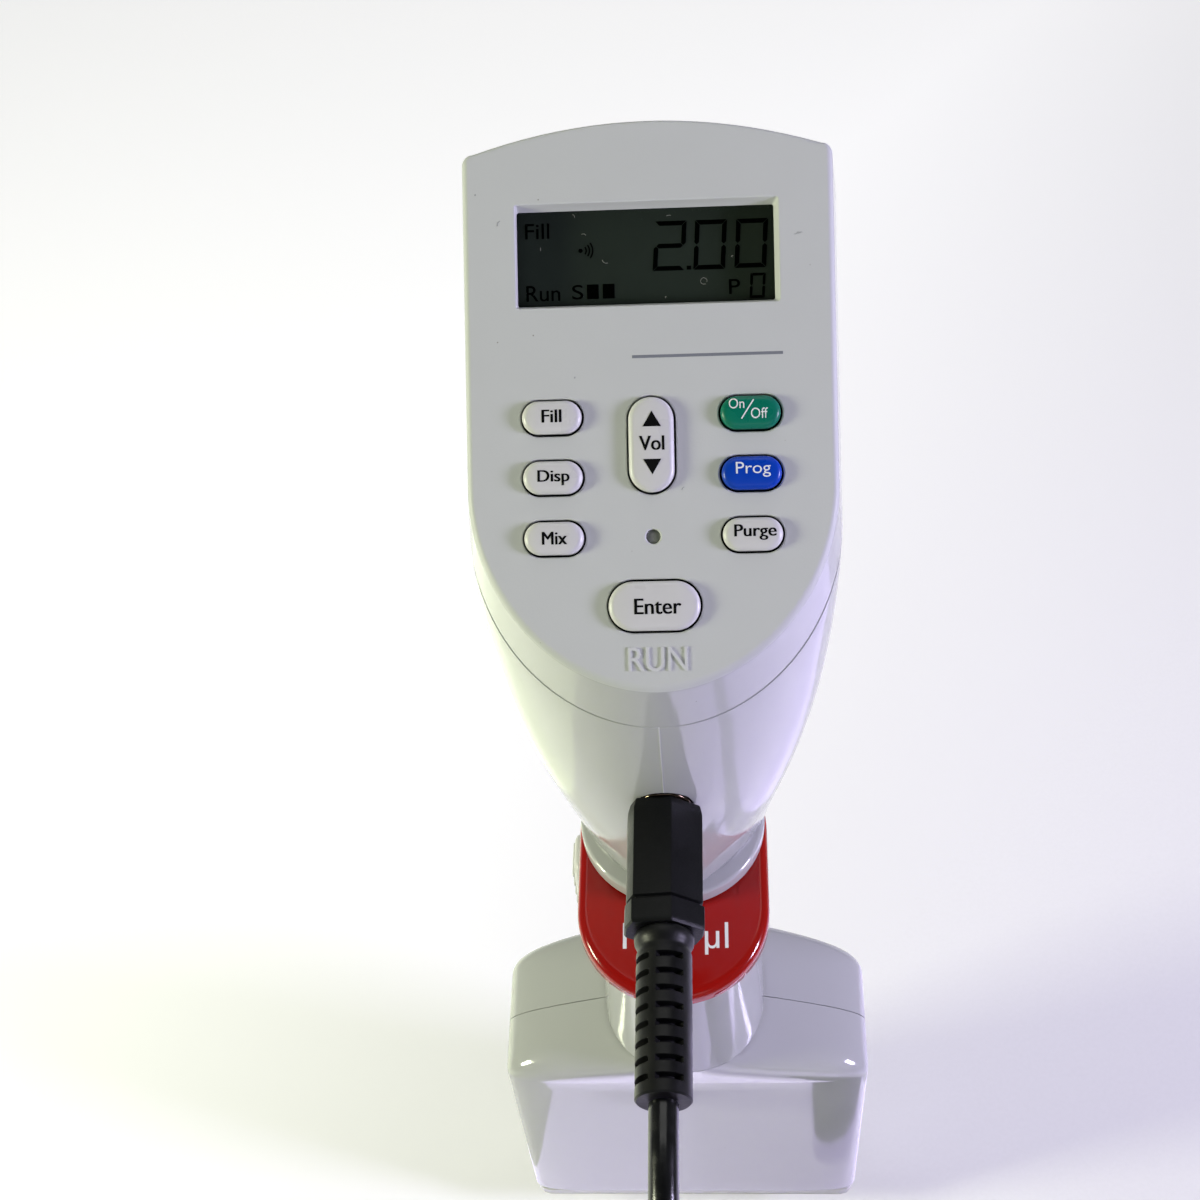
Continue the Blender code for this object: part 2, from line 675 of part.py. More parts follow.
def make_battery():
    """Three cells side by side in a tray that hangs under the board."""
    rim = -BOARD_DEPTH - BOARD_THICKNESS - GAP
    pack_width = CELL_LENGTH + 2 * GAP
    pitch = 2 * CELL_RADIUS + GAP
    pack_depth = pitch * CELL_COUNT + GAP
    floor = rim - GAP - 2 * CELL_RADIUS - GAP
    low = (-pack_width / 2 - TRAY_WALL, TRAY_NEAR_Y, floor - TRAY_WALL)
    high = (pack_width / 2 + TRAY_WALL, TRAY_NEAR_Y + pack_depth + 2 * TRAY_WALL, rim)
    tray = box("battery_tray", low, high, "black_plastic", face)
    soften(tray, 0.0008)
    inside = box("tray_core", (-pack_width / 2, TRAY_NEAR_Y + TRAY_WALL, floor),
                 (pack_width / 2, high[1] - TRAY_WALL, rim + REACH), None, face)
    cut(tray, inside)
    pack = None
    first = TRAY_NEAR_Y + TRAY_WALL + GAP + CELL_RADIUS
    for i in range(CELL_COUNT):
        place = (-CELL_LENGTH / 2, first + pitch * i, floor + GAP + CELL_RADIUS)
        name = "battery_pack" if i == 0 else "cell"
        cell = turned(name, [(0, CELL_LENGTH), (CELL_RADIUS, CELL_LENGTH), (CELL_RADIUS, 0), (0, 0)],
                      "cell_wrap", face, place, (0, 90, 0), steps=SMALL_STEPS)
        if i == 0:
            pack = cell
        else:
            join(pack, cell)
    web = box("cell_web", (-CELL_LENGTH / 2 + 0.001, first, floor + 0.5 * CELL_RADIUS),
              (CELL_LENGTH / 2 - 0.001, first + pitch * (CELL_COUNT - 1), floor + 1.5 * CELL_RADIUS),
              None, face)
    join(pack, web)


def trigger_curve(grow):
    """Side line of the trigger's proud outer curve, as y and z points from the bottom up."""
    line = []
    for i in range(TRIGGER_STEPS + 1):
        share = i / TRIGGER_STEPS
        z = blend(TRIGGER_BOTTOM_Z - grow, TRIGGER_TOP_Z + grow, share)
        proud = TRIGGER_PROUD * math.sin(math.pi * blend(TRIGGER_LIP, 1 - TRIGGER_LIP, share)) ** 0.6
        line.append((far_wall_at(z) + proud, z))
    return line


def trigger_ring(outer_y, inner_y, z):
    """Level section of the trigger, crowned across its outer side."""
    half = TRIGGER_WIDTH / 2
    side = [(half, inner_y), (half, outer_y - TRIGGER_EDGE),
            (half - TRIGGER_EDGE, outer_y - 0.25 * TRIGGER_EDGE), (half / 2, outer_y)]
    return level(mirrored(side), z)


def make_trigger():
    """Finger trigger that turns about the upper edge of its tab, and its switch. Gives the switch's y."""
    behind = SHELL_WALL * 1.25 + SLIDE_GAP
    pivot_z = TRIGGER_TOP_Z + TRIGGER_TAB
    foot_z = TRIGGER_BOTTOM_Z - TRIGGER_TAB * 0.6
    pivot_y = far_wall_at(pivot_z) - behind - TRIGGER_BACKING / 2
    curve = trigger_curve(0.0)
    line = [(far_wall_at(z) - behind, z) for z in (foot_z, TRIGGER_BOTTOM_Z)]
    line += curve
    line += [(far_wall_at(z) - behind, z) for z in (TRIGGER_TOP_Z, pivot_z)]
    rings = []
    for y, z in line:
        inner_y = far_wall_at(z) - behind - TRIGGER_BACKING
        rings.append(trigger_ring(y - pivot_y, inner_y - pivot_y, z - pivot_z))
    skin("run_trigger", rings, "key_white", handle, (0, pivot_y, pivot_z))
    width, depth, height = SWITCH_SIZE
    swing = math.tan(math.radians(TRIGGER_SWING))
    ends = [SWITCH_Z - height / 2 - SWITCH_ROOM, SWITCH_Z + height / 2]
    pulled = min(far_wall_at(z) - (pivot_z - z) * swing for z in ends)
    switch_y = pulled - behind - TRIGGER_BACKING - SWITCH_ROOM
    switch = box("trigger_switch", (-width / 2, switch_y - depth, SWITCH_Z - height / 2),
                 (width / 2, switch_y, SWITCH_Z + height / 2), "black_plastic", handle)
    soften(switch, 0.1 * depth)
    return switch_y


def switch_shelf(switch_y):
    """Rib left standing in the left shell, beside the switch."""
    half = SHELF_THICKNESS / 2
    middle = switch_y - SWITCH_SIZE[1] / 2
    return box("switch_shelf", (-HEAD_WIDTH, middle - half, SWITCH_Z - half),
               (-SWITCH_SIZE[0] / 2 - GAP, middle + half, SWITCH_Z + half), None, handle)


def shell_form(name, inset, material):
    """Body, neck and grip as one form: at inset 0 the outside, at the wall's thickness the core."""
    shares = (0.0, SEAM_RUN, 0.34, 0.48, 0.62, 0.76, 0.89)
    rings = [body_ring(share, inset) for share in shares]
    if inset:
        rings.insert(0, [(x, y, z + REACH) for x, y, z in rings[0]])
    low = GRIP_TOP_Z - inset
    rings.append(body_ring(1.0, inset, inset))
    rings.append(neck_ring(NECK_RADIUS - inset, BODY_END_Z + inset))
    rings.append(neck_ring(NECK_RADIUS - inset, low))
    rings.append(grip_ring(low, inset + GRIP_ROUND))
    rings.append(grip_ring(blend(low, -GRIP_ROUND_DEPTH, 0.25), inset + 0.25 * GRIP_ROUND))
    rings.append(grip_ring(-GRIP_ROUND_DEPTH, inset))
    for share in (0.35, 0.65):
        rings.append(grip_ring(-GRIP_LENGTH * share, inset))
    rings.append(grip_ring(-GRIP_LENGTH - (REACH if inset else 0), inset))
    return skin(name, rings, material, handle)


def make_body_shells(switch_y):
    """Left and right halves: the whole form less its core, its openings and the other half's space."""
    core = shell_form("shell_core", SHELL_WALL, None)
    cut(core, switch_shelf(switch_y))
    jack = rod("jack_cutter", RING_RADIUS + GAP, REACH, -REACH / 2, None, handle, (0, JACK_WALL_Y, JACK_Z),
               (90, 0, 0), ROUND_STEPS)
    grow = SLIDE_GAP * 1.5
    outer = [(y + REACH, z) for y, z in trigger_curve(grow)]
    inner = [(y - 2.5 * SHELL_WALL, z) for y, z in reversed(trigger_curve(grow))]
    half_width = TRIGGER_WIDTH / 2 + SLIDE_GAP
    trigger_hole = extruded("trigger_cutter", [(-half_width, y, z) for y, z in outer + inner],
                            (2 * half_width, 0, 0), None, handle)
    stem_y, stem_z = BUTTON_STEM
    slot = box("button_slot", (-REACH * 2, BUTTON_Y - stem_y / 2 - SLIDE_GAP,
                               BUTTON_STEM_Z - stem_z / 2 - EJECT_STROKE - SLIDE_GAP),
               (-REACH / 2, BUTTON_Y + stem_y / 2 + SLIDE_GAP, BUTTON_STEM_Z + stem_z / 2 + SLIDE_GAP),
               None, handle)
    for side, name in ((-1, "left_body_shell"), (1, "right_body_shell")):
        shell = shell_form(name, 0.0, "body_white")
        edge = GAP / 2
        low_x, high_x = (-edge, WELL_PAST) if side < 0 else (-WELL_PAST, edge)
        other = box(name + "_space", (low_x, -WELL_PAST, -WELL_PAST), (high_x, WELL_PAST, WELL_PAST), None,
                    handle)
        cut(shell, core)
        cut(shell, jack)
        cut(shell, trigger_hole)
        if side < 0:
            cut(shell, slot)
        cut(shell, other)


def make_collar_and_hook():
    """White collar and red hook on the neck. The hook's underside is relieved where it clears the grip."""
    bore = NECK_RADIUS + GAP
    low = HOOK_THICKNESS + GAP
    high = BODY_END_Z - GAP
    turned("collar", [(COLLAR_RADIUS - COLLAR_ROUND, high), (COLLAR_RADIUS, high - COLLAR_ROUND),
                      (COLLAR_RADIUS, low), (bore, low), (bore, high)], "body_white", handle,
           steps=LARGE_STEPS, ring=True)
    centre_y = -(HOOK_REACH - HOOK_RADIUS) / 2
    length = HOOK_REACH + HOOK_RADIUS
    levels = [(HOOK_THICKNESS, HOOK_EDGE * 1.6), (HOOK_THICKNESS - 0.3 * HOOK_EDGE, 0.5 * HOOK_EDGE),
              (HOOK_THICKNESS - HOOK_EDGE, 0.0), (HOOK_EDGE * 0.6, 0.0), (0.0, HOOK_EDGE * 0.6)]
    hook = prism("finger_hook", (2 * HOOK_RADIUS, length), HOOK_RADIUS, levels, "hook_red", handle,
                 (0, centre_y, 0), steps=7)
    for vert in hook.data.vertices:
        beyond = -(vert.co.y + centre_y) - HOOK_RADIUS
        if beyond > 0:
            vert.co.z *= 1 - HOOK_SLOPE * beyond / (HOOK_REACH - HOOK_RADIUS)
    cut(hook, rod("hook_cutter", bore, REACH, -REACH, None, handle, steps=LARGE_STEPS))
    relief = 2 * SLIDE_GAP - GRIP_FRONT
    cut(hook, rod("relief_cutter", relief, HOOK_RELIEF, -REACH, None, handle, steps=LARGE_STEPS))


def make_charge_socket():
    """Socket block behind the wall, with the metal ring that shows round the plug."""
    front_y = JACK_WALL_Y + SOCKET_BACK_OFF
    half = SOCKET_SIZE / 2
    socket = box("charge_socket", (-half, front_y, JACK_Z - half),
                 (half, front_y + SOCKET_LENGTH, JACK_Z + half), "black_plastic", handle)
    soften(socket, 0.0006)
    bore = rod("socket_cutter", PLUG_TIP_RADIUS + GAP, REACH, -SOCKET_LENGTH * 0.75, None, handle,
               (0, front_y, JACK_Z), (90, 0, 0))
    cut(socket, bore)
    deep = JACK_WALL_Y - front_y + GAP
    turned("socket_ring", [(RING_RADIUS - 0.0004, RING_PROUD), (RING_RADIUS, RING_PROUD - 0.0004),
                           (RING_RADIUS, deep), (RING_BORE, deep), (RING_BORE, RING_PROUD)], "steel", handle,
           (0, JACK_WALL_Y, JACK_Z), (90, 0, 0), ring=True)


def make_plug():
    """Six-sided plug with a groove near its rear, and the ribbed sleeve behind it."""
    front_y = JACK_WALL_Y - RING_PROUD - GAP * 2
    marks = ((0.0, 0.92), (0.0007, 1.0), (PLUG_GROOVE_AT - PLUG_GROOVE, 1.0), (PLUG_GROOVE_AT, 0.95),
             (PLUG_GROOVE_AT + PLUG_GROOVE, 0.99), (PLUG_LENGTH - 0.0005, 0.99), (PLUG_LENGTH, 0.93))
    rings = []
    for z, scale in marks:
        size = scale * blend(1 - PLUG_FLARE, 1.0, z / PLUG_LENGTH)
        side = [(0, -PLUG_RIDGE * size), (PLUG_HALF_WIDTH * 0.93 * size, -PLUG_SHOULDER * size),
                (PLUG_HALF_WIDTH * size, 0), (PLUG_HALF_WIDTH * 0.93 * size, PLUG_SHOULDER * size),
                (0, PLUG_RIDGE * size)]
        rings.append(level(mirrored(side), z))
    plug = skin("plug_body", rings, "black_plastic", handle, (0, front_y, JACK_Z), (90, 0, 0))
    end = PLUG_TIP_RADIUS / 4
    tip = turned("plug_tip", [(0, end), (PLUG_TIP_RADIUS, end), (PLUG_TIP_RADIUS, end - PLUG_TIP_LENGTH),
                              (PLUG_TIP_RADIUS - end, -PLUG_TIP_LENGTH), (0, -PLUG_TIP_LENGTH)], None, handle,
                 (0, front_y, JACK_Z), (90, 0, 0), steps=SMALL_STEPS)
    join(plug, tip)
    pitch = (SLEEVE_LENGTH - SLEEVE_HEAD_LENGTH) / SLEEVE_RINGS
    profile = [(0, 0), (SLEEVE_HEAD, 0), (SLEEVE_HEAD, SLEEVE_HEAD_LENGTH * 0.4),
               (SLEEVE_RADIUS, SLEEVE_HEAD_LENGTH * 0.75)]
    for i in range(SLEEVE_RINGS):
        z = SLEEVE_HEAD_LENGTH + i * pitch
        profile += [(SLEEVE_RADIUS, z), (SLEEVE_NECK, z), (SLEEVE_NECK, z + 0.35 * pitch),
                    (SLEEVE_RADIUS, z + 0.35 * pitch)]
    profile += [(SLEEVE_RADIUS, SLEEVE_LENGTH), (0, SLEEVE_LENGTH)]
    turned("strain_relief", list(reversed(profile)), "black_rubber", handle,
           (0, front_y - PLUG_LENGTH - GAP, JACK_Z), (90, 0, 0), steps=CHANNEL_STEPS)
    return front_y - PLUG_LENGTH - SLEEVE_LENGTH - 2 * GAP + HANDLE_AXIS_Y


def smooth_route(points, spacing):
    """Points at an even spacing along a smooth curve through the given ones."""
    dense = []
    last = len(points) - 1
    for i in range(last):
        p0, p1, p2, p3 = (Vector(points[max(min(k, last), 0)]) for k in range(i - 1, i + 3))
        for step in range(20):
            t = step / 20
            dense.append(0.5 * (2 * p1 + (p2 - p0) * t + (2 * p0 - 5 * p1 + 4 * p2 - p3) * t * t
                                + (3 * p1 - p0 - 3 * p2 + p3) * t ** 3))
    dense.append(Vector(points[last]))
    total = sum((b - a).length for a, b in zip(dense, dense[1:]))
    count = max(round(total / spacing), 2)
    even = [dense[0]]
    walked = 0.0
    for a, b in zip(dense, dense[1:]):
        length = (b - a).length
        while len(even) < count and walked + length >= total * len(even) / count:
            even.append(a.lerp(b, (total * len(even) / count - walked) / length))
        walked += length
    even.append(dense[-1])
    return even


def make_cord(exit_y):
    """Lead: out of the sleeve, down to the bench, and up to the coil that holds the rest of its length."""
    start = exit_y - GAP
    rest = BENCH_Z + CORD_RADIUS + 0.0002
    route = [(0, start, JACK_Z), (0, start - 0.010, JACK_Z - 0.0003), (0, start - 0.022, JACK_Z - 0.0035),
             (0, start - 0.034, 0.035), (0, start - 0.042, 0.020), (0, start - 0.0465, 0.0),
             (0, start - 0.0485, -0.025), (0, start - 0.0495, -0.055), (0, start - 0.050, -0.090),
             (0, start - 0.0505, -0.125), (-0.001, start - 0.0515, -0.150), (-0.004, start - 0.0535, -0.166),
             (-0.011, -0.1035, -0.1762), (-0.022, -0.1025, rest), (-0.033, -0.097, rest),
             (-0.0415, -0.0875, rest), (-0.0448, -0.076, rest), (-0.0446, -0.070, rest)]
    curve = bpy.data.curves.new("charge_cord", "CURVE")
    curve.dimensions = "3D"
    curve.bevel_depth = CORD_RADIUS
    curve.bevel_resolution = 2
    curve.use_fill_caps = True
    points = smooth_route(route, 2.8 * 2 * CORD_RADIUS)
    line = curve.splines.new("POLY")
    line.points.add(len(points) - 1)
    for spot, point in zip(line.points, points):
        spot.co = (*point, 1.0)
    cord = bpy.data.objects.new("charge_cord", curve)
    curve.materials.append(make_material("black_rubber"))
    parts.objects.link(cord)


def make_coil_and_adapter():
    """Outer form of the wound lead, and the power supply that its outer turn runs into, on the bench."""
    half_build = COIL_COLUMNS * CORD_RADIUS
    inner = COIL_MIDDLE_RADIUS - half_build
    outer = COIL_MIDDLE_RADIUS + half_build
    height = 2 * COIL_LAYERS * CORD_RADIUS
    chamfer = CORD_RADIUS * 0.6
    low = BENCH_Z + 0.0001
    centre_x, centre_y = COIL_CENTRE
    turned("cord_coil", [(outer - chamfer, height), (outer, height - chamfer), (outer, chamfer),
                         (outer - chamfer, 0), (inner + chamfer, 0), (inner, chamfer),
                         (inner, height - chamfer), (inner + chamfer, height)], "black_rubber", None,
           (centre_x, centre_y, low), steps=LARGE_STEPS, ring=True)
    width, depth, tall = ADAPTER_SIZE
    adapter_y = centre_y + outer - CORD_RADIUS
    clear = outer + 2 * GAP
    body_x = centre_x + math.sqrt(clear ** 2 - (adapter_y - depth / 2 - centre_y) ** 2) + width / 2
    edge = ADAPTER_EDGE
    adapter = prism("wall_adapter", (width, depth), 3 * edge,
                    [(tall, edge), (tall - edge, 0.0), (edge, 0.0), (0.0, edge)], "black_plastic", None,
                    (body_x, adapter_y, low))
    narrow = 0.8 * ADAPTER_NECK_RADIUS
    neck = turned("adapter_neck", [(0, edge), (ADAPTER_NECK_RADIUS, edge), (narrow, -ADAPTER_NECK),
                                   (0, -ADAPTER_NECK)], None, None,
                  (body_x - width / 2, adapter_y, low + tall / 2), (0, 90, 0), steps=SMALL_STEPS)
    join(adapter, neck)
    blade_x, blade_y, blade_length = ADAPTER_BLADE
    end_x = body_x + width / 2
    for side in (-1, 1):
        middle = low + tall / 2 + side * ADAPTER_BLADE_SPREAD / 2
        blade = box("adapter_blade", (end_x - edge, adapter_y - blade_y / 2, middle - blade_x / 2),
                    (end_x + blade_length, adapter_y + blade_y / 2, middle + blade_x / 2), None, None)
        join(adapter, blade)


def make_motor():
    """Motor with a hollow rotor, on a bracket that fills the grip's oval."""
    bottom = MOTOR_TOP_Z - MOTOR_LENGTH
    high = MOTOR_TOP_Z - MOTOR_CAP
    low = bottom + MOTOR_CAP
    turned("motor_housing", [(MOTOR_RADIUS, MOTOR_TOP_Z), (MOTOR_RADIUS, bottom), (MOTOR_HOLE_RADIUS, bottom),
                             (MOTOR_HOLE_RADIUS, low), (MOTOR_CAVITY_RADIUS, low),
                             (MOTOR_CAVITY_RADIUS, high), (MOTOR_HOLE_RADIUS, high),
                             (MOTOR_HOLE_RADIUS, MOTOR_TOP_Z)],
           "steel", handle, (0, DRIVE_Y, 0), ring=True)
    turned("motor_rotor", [(ROTOR_RADIUS, high - GAP), (ROTOR_RADIUS, low + GAP),
                           (ROTOR_BORE_RADIUS, low + GAP), (ROTOR_BORE_RADIUS, high - GAP)],
           "steel", handle, (0, DRIVE_Y, 0), ring=True)
    outline = [(x, y) for x, y, _ in grip_ring(BRACKET_TOP_Z, SHELL_WALL + GAP)]
    bracket = skin("motor_bracket", [level(outline, BRACKET_TOP_Z),
                                     level(outline, BRACKET_TOP_Z - BRACKET_THICKNESS)], "steel", handle)
    for x, y, radius in ((0, DRIVE_Y, MOTOR_HOLE_RADIUS), (EJECT_X, EJECT_Y, ROD_RADIUS + SLIDE_GAP)):
        cut(bracket, rod("bracket_cutter", radius, REACH, -REACH, None, handle, (x, y, BRACKET_TOP_Z)))


def channel_x(i):
    return CHANNEL_PITCH * (i - (CHANNELS - 1) / 2)


def make_piston_group():
    """Lead screw, carriage and one piston for each channel."""
    boss_top = CARRIAGE_TOP_Z + CARRIAGE_BOSS_HEIGHT
    chamfer = SCREW_RADIUS / 5
    turned("lead_screw", [(0, SCREW_TOP_Z), (SCREW_RADIUS - chamfer, SCREW_TOP_Z),
                          (SCREW_RADIUS, SCREW_TOP_Z - chamfer), (SCREW_RADIUS, boss_top + GAP),
                          (0, boss_top + GAP)], "steel", handle, (0, DRIVE_Y, 0), steps=SMALL_STEPS)
    width, depth, height = CARRIAGE_SIZE
    carriage = prism("piston_carriage", (width, depth), depth / 4, [(0, 0), (-height, 0)], "channel_white",
                     handle, (0, DRIVE_Y, CARRIAGE_TOP_Z))
    boss = rod("carriage_boss", CARRIAGE_BOSS_RADIUS, CARRIAGE_BOSS_HEIGHT, -height / 2, None, handle,
               (0, DRIVE_Y, CARRIAGE_TOP_Z), steps=ROUND_STEPS)
    join(carriage, boss)
    for i in range(CHANNELS):
        turned("piston_%d" % (i + 1), [(0, 0), (PISTON_HEAD_RADIUS, 0), (PISTON_HEAD_RADIUS, -PISTON_HEAD),
                                       (PISTON_RADIUS, -PISTON_HEAD), (PISTON_RADIUS, -PISTON_LENGTH),
                                       (0, -PISTON_LENGTH)],
               "steel", handle, (channel_x(i), DRIVE_Y, PISTON_TOP_Z), steps=CHANNEL_STEPS)


def make_cylinder_block():
    """Block with a stepped bore for each channel, a seal strip on top and the nozzles below."""
    half_x = MANIFOLD_WIDTH / 2 - MANIFOLD_WALL - GAP
    half_y = BLOCK_DEPTH / 2
    block = box("cylinder_block", (-half_x, DRIVE_Y - half_y, BLOCK_TOP_Z - BLOCK_HEIGHT),
                (half_x, DRIVE_Y + half_y, BLOCK_TOP_Z), "channel_white", handle)
    strip_x = CARRIAGE_SIZE[0] / 2
    strip_y = half_y - STRIP_MARGIN
    strip_low = BLOCK_TOP_Z + GAP
    strip = box("seal_strip", (-strip_x, DRIVE_Y - strip_y, strip_low),
                (strip_x, DRIVE_Y + strip_y, strip_low + SEAL_THICKNESS), "mat_rubber", handle)
    radius = PISTON_RADIUS + BORE_CLEARANCE
    for i in range(CHANNELS):
        profile = [(0, REACH / 2), (radius, REACH / 2), (radius, -BORE_DEPTH),
                   (NOZZLE_BORE_RADIUS, -BORE_DEPTH - BORE_CONE),
                   (NOZZLE_BORE_RADIUS, -BLOCK_HEIGHT - REACH / 4), (0, -BLOCK_HEIGHT - REACH / 4)]
        bore = turned("bore_cutter", profile, None, handle, (channel_x(i), DRIVE_Y, BLOCK_TOP_Z),
                      steps=CHANNEL_STEPS)
        cut(block, bore)
        cut(strip, bore)
        make_nozzle(i)
    for x in (-COVER_SCREW_X, COVER_SCREW_X):
        cut(block, rod("pilot_cutter", COVER_SCREW_RADIUS + GAP, REACH, -COVER_SCREW_BITE - GAP, None, handle,
                       (x, DRIVE_Y + half_y, COVER_SCREW_Z), (-90, 0, 0)))


def make_nozzle(i):
    """Nozzle that a tip is pushed onto: flange, straight shank, taper and a bore."""
    shank = 0.45 * NOZZLE_LENGTH
    profile = [(NOZZLE_FLANGE_RADIUS, 0), (NOZZLE_FLANGE_RADIUS, -NOZZLE_FLANGE),
               (NOZZLE_RADIUS, -NOZZLE_FLANGE), (NOZZLE_RADIUS, -shank), (NOZZLE_TIP_RADIUS, -NOZZLE_LENGTH),
               (NOZZLE_BORE_RADIUS, -NOZZLE_LENGTH), (NOZZLE_BORE_RADIUS, 0)]
    turned("nozzle_%d" % (i + 1), profile, "channel_white", handle, (channel_x(i), DRIVE_Y, NOZZLE_TOP_Z),
           steps=CHANNEL_STEPS, ring=True)


def manifold_form(name, inset, material):
    """Manifold housing as one form, from the grip down past the block."""
    top = -GRIP_LENGTH - GAP
    rings = [manifold_ring(0.0, top, inset)]
    if inset:
        rings.insert(0, manifold_ring(0.0, top + REACH / 2, inset))
    for share in (0.12, 0.3, 0.6, 1.0):
        rings.append(manifold_ring(share, top - SHOULDER_HEIGHT * share, inset))
    rings.append(manifold_ring(1.0, MANIFOLD_END_Z - (REACH / 2 if inset else 0), inset))
    return skin(name, rings, material, handle)


def make_manifold_covers():
    """Front and rear covers of the manifold, screwed to the block through bosses in the rear one."""
    core = manifold_form("manifold_core", MANIFOLD_WALL, None)
    seat_y = DRIVE_Y + BLOCK_DEPTH / 2 + GAP
    head_y = MANIFOLD_BACK - seat_y - COVER_SCREW_HEAD_HEIGHT - GAP
    for x in (-COVER_SCREW_X, COVER_SCREW_X):
        cut(core, rod("cover_boss", COVER_BOSS_RADIUS, REACH, 0, None, handle, (x, seat_y, COVER_SCREW_Z),
                      (-90, 0, 0)))
    for side, name in ((-1, "manifold_front_cover"), (1, "manifold_rear_cover")):
        cover = manifold_form(name, 0.0, "body_white")
        edge = MANIFOLD_SPLIT_Y + side * GAP / 2
        low_y, high_y = (edge, WELL_PAST) if side < 0 else (-WELL_PAST, edge)
        other = box(name + "_space", (-WELL_PAST, low_y, -WELL_PAST), (WELL_PAST, high_y, WELL_PAST), None,
                    handle)
        cut(cover, core)
        cut(cover, other)
    for x, name in ((-COVER_SCREW_X, "cover_screw_left"), (COVER_SCREW_X, "cover_screw_right")):
        wide = COVER_SCREW_HEAD + GAP
        narrow = COVER_SCREW_RADIUS + GAP
        hole = turned("cover_screw_cutter", [(0, REACH), (wide, REACH), (wide, head_y), (narrow, head_y),
                                             (narrow, -REACH / 4), (0, -REACH / 4)], None, handle,
                      (x, seat_y, COVER_SCREW_Z), (-90, 0, 0), steps=SMALL_STEPS)
        cut(cover, hole)
        low = head_y + GAP
        high = low + COVER_SCREW_HEAD_HEIGHT
        turned(name, [(0, high), (COVER_SCREW_HEAD, high), (COVER_SCREW_HEAD, low), (COVER_SCREW_RADIUS, low),
                      (COVER_SCREW_RADIUS, -COVER_SCREW_BITE), (0, -COVER_SCREW_BITE)], "steel", handle,
               (x, seat_y, COVER_SCREW_Z), (-90, 0, 0), steps=SMALL_STEPS)


def make_ejector():
    """Thumb button through the left shell, rod with its return spring, and the bar round the nozzles."""
    arm_z = make_button()
    rod_top = arm_z - GAP
    flange_low = ROD_FLANGE_Z - ROD_FLANGE
    rod_low = EJECTOR_PLATE_TOP_Z + GAP
    turned("ejector_rod", [(0, rod_top), (ROD_RADIUS, rod_top), (ROD_RADIUS, ROD_FLANGE_Z),
                           (ROD_FLANGE_RADIUS, ROD_FLANGE_Z), (ROD_FLANGE_RADIUS, flange_low),
                           (ROD_RADIUS, flange_low), (ROD_RADIUS, rod_low), (0, rod_low)],
           "steel", handle, (EJECT_X, EJECT_Y, 0), steps=SMALL_STEPS)
    make_spring(flange_low)
    front = MANIFOLD_FRONT + EJECTOR_BAR_MARGIN
    back = MANIFOLD_BACK - EJECTOR_BAR_MARGIN
    width = MANIFOLD_WIDTH - 2 * EJECTOR_BAR_MARGIN
    edge = EJECTOR_BAR_EDGE
    thickness = EJECTOR_BAR_THICKNESS
    bar = prism("ejector_bar", (width, back - front), MANIFOLD_CORNER - EJECTOR_BAR_MARGIN,
                [(0, edge), (-edge, 0), (edge - thickness, 0), (-thickness, edge)],
                "channel_white", handle, (0, (back + front) / 2, BAR_TOP_Z))
    half_plate = EJECTOR_PLATE_THICKNESS / 2
    plate = box("ejector_plate", (-EJECTOR_PLATE_WIDTH / 2, EJECT_Y - half_plate, BAR_TOP_Z - thickness / 2),
                (EJECTOR_PLATE_WIDTH / 2, EJECT_Y + half_plate, EJECTOR_PLATE_TOP_Z), None, handle)
    join(bar, plate)
    for i in range(CHANNELS):
        cut(bar, rod("bar_cutter", NOZZLE_RADIUS + SLIDE_GAP, REACH / 4, -REACH / 4, None, handle,
                     (channel_x(i), DRIVE_Y, BAR_TOP_Z), steps=CHANNEL_STEPS))


def make_button():
    """Ribbed thumb pad with a stem through the slot and an arm over the rod. Gives the arm's height."""
    pad_x, pad_y, pad_z = BUTTON_PAD
    stem_y, stem_z = BUTTON_STEM
    side_x = -GRIP_WIDTH / 2 - GAP
    arm_z = BUTTON_STEM_Z - stem_z / 2
    edge = BUTTON_EDGE
    button = prism("ejector_button", (pad_z, pad_y), pad_y / 3,
                   [(pad_x, edge), (pad_x - 0.5 * edge, 0.25 * edge), (pad_x - edge, 0.0), (0.0, 0.0)],
                   "key_white", handle, (side_x, BUTTON_Y, BUTTON_PAD_Z), (0, -90, 0))
    for i in range(BUTTON_RIBS):
        z = BUTTON_PAD_Z + (i - (BUTTON_RIBS - 1) / 2) * pad_z / (BUTTON_RIBS + 1)
        rib = box("button_rib", (side_x - pad_x - BUTTON_RIB, BUTTON_Y - pad_y * 0.36, z - BUTTON_RIB),
                  (side_x - pad_x / 2, BUTTON_Y + pad_y * 0.36, z + BUTTON_RIB), None, handle)
        join(button, rib)
    stem = box("button_stem", (side_x - pad_x / 2, BUTTON_Y - stem_y / 2, arm_z - GAP),
               (EJECT_X - ROD_RADIUS, BUTTON_Y + stem_y / 2, BUTTON_STEM_Z + stem_z / 2), None, handle)
    join(button, stem)
    arm = box("button_arm", (EJECT_X - 3 * ROD_RADIUS, BUTTON_Y - stem_y * 0.4, arm_z),
              (EJECT_X + ROD_RADIUS, EJECT_Y + ROD_RADIUS, arm_z + BUTTON_ARM_THICKNESS), None, handle)
    join(button, arm)
    return arm_z


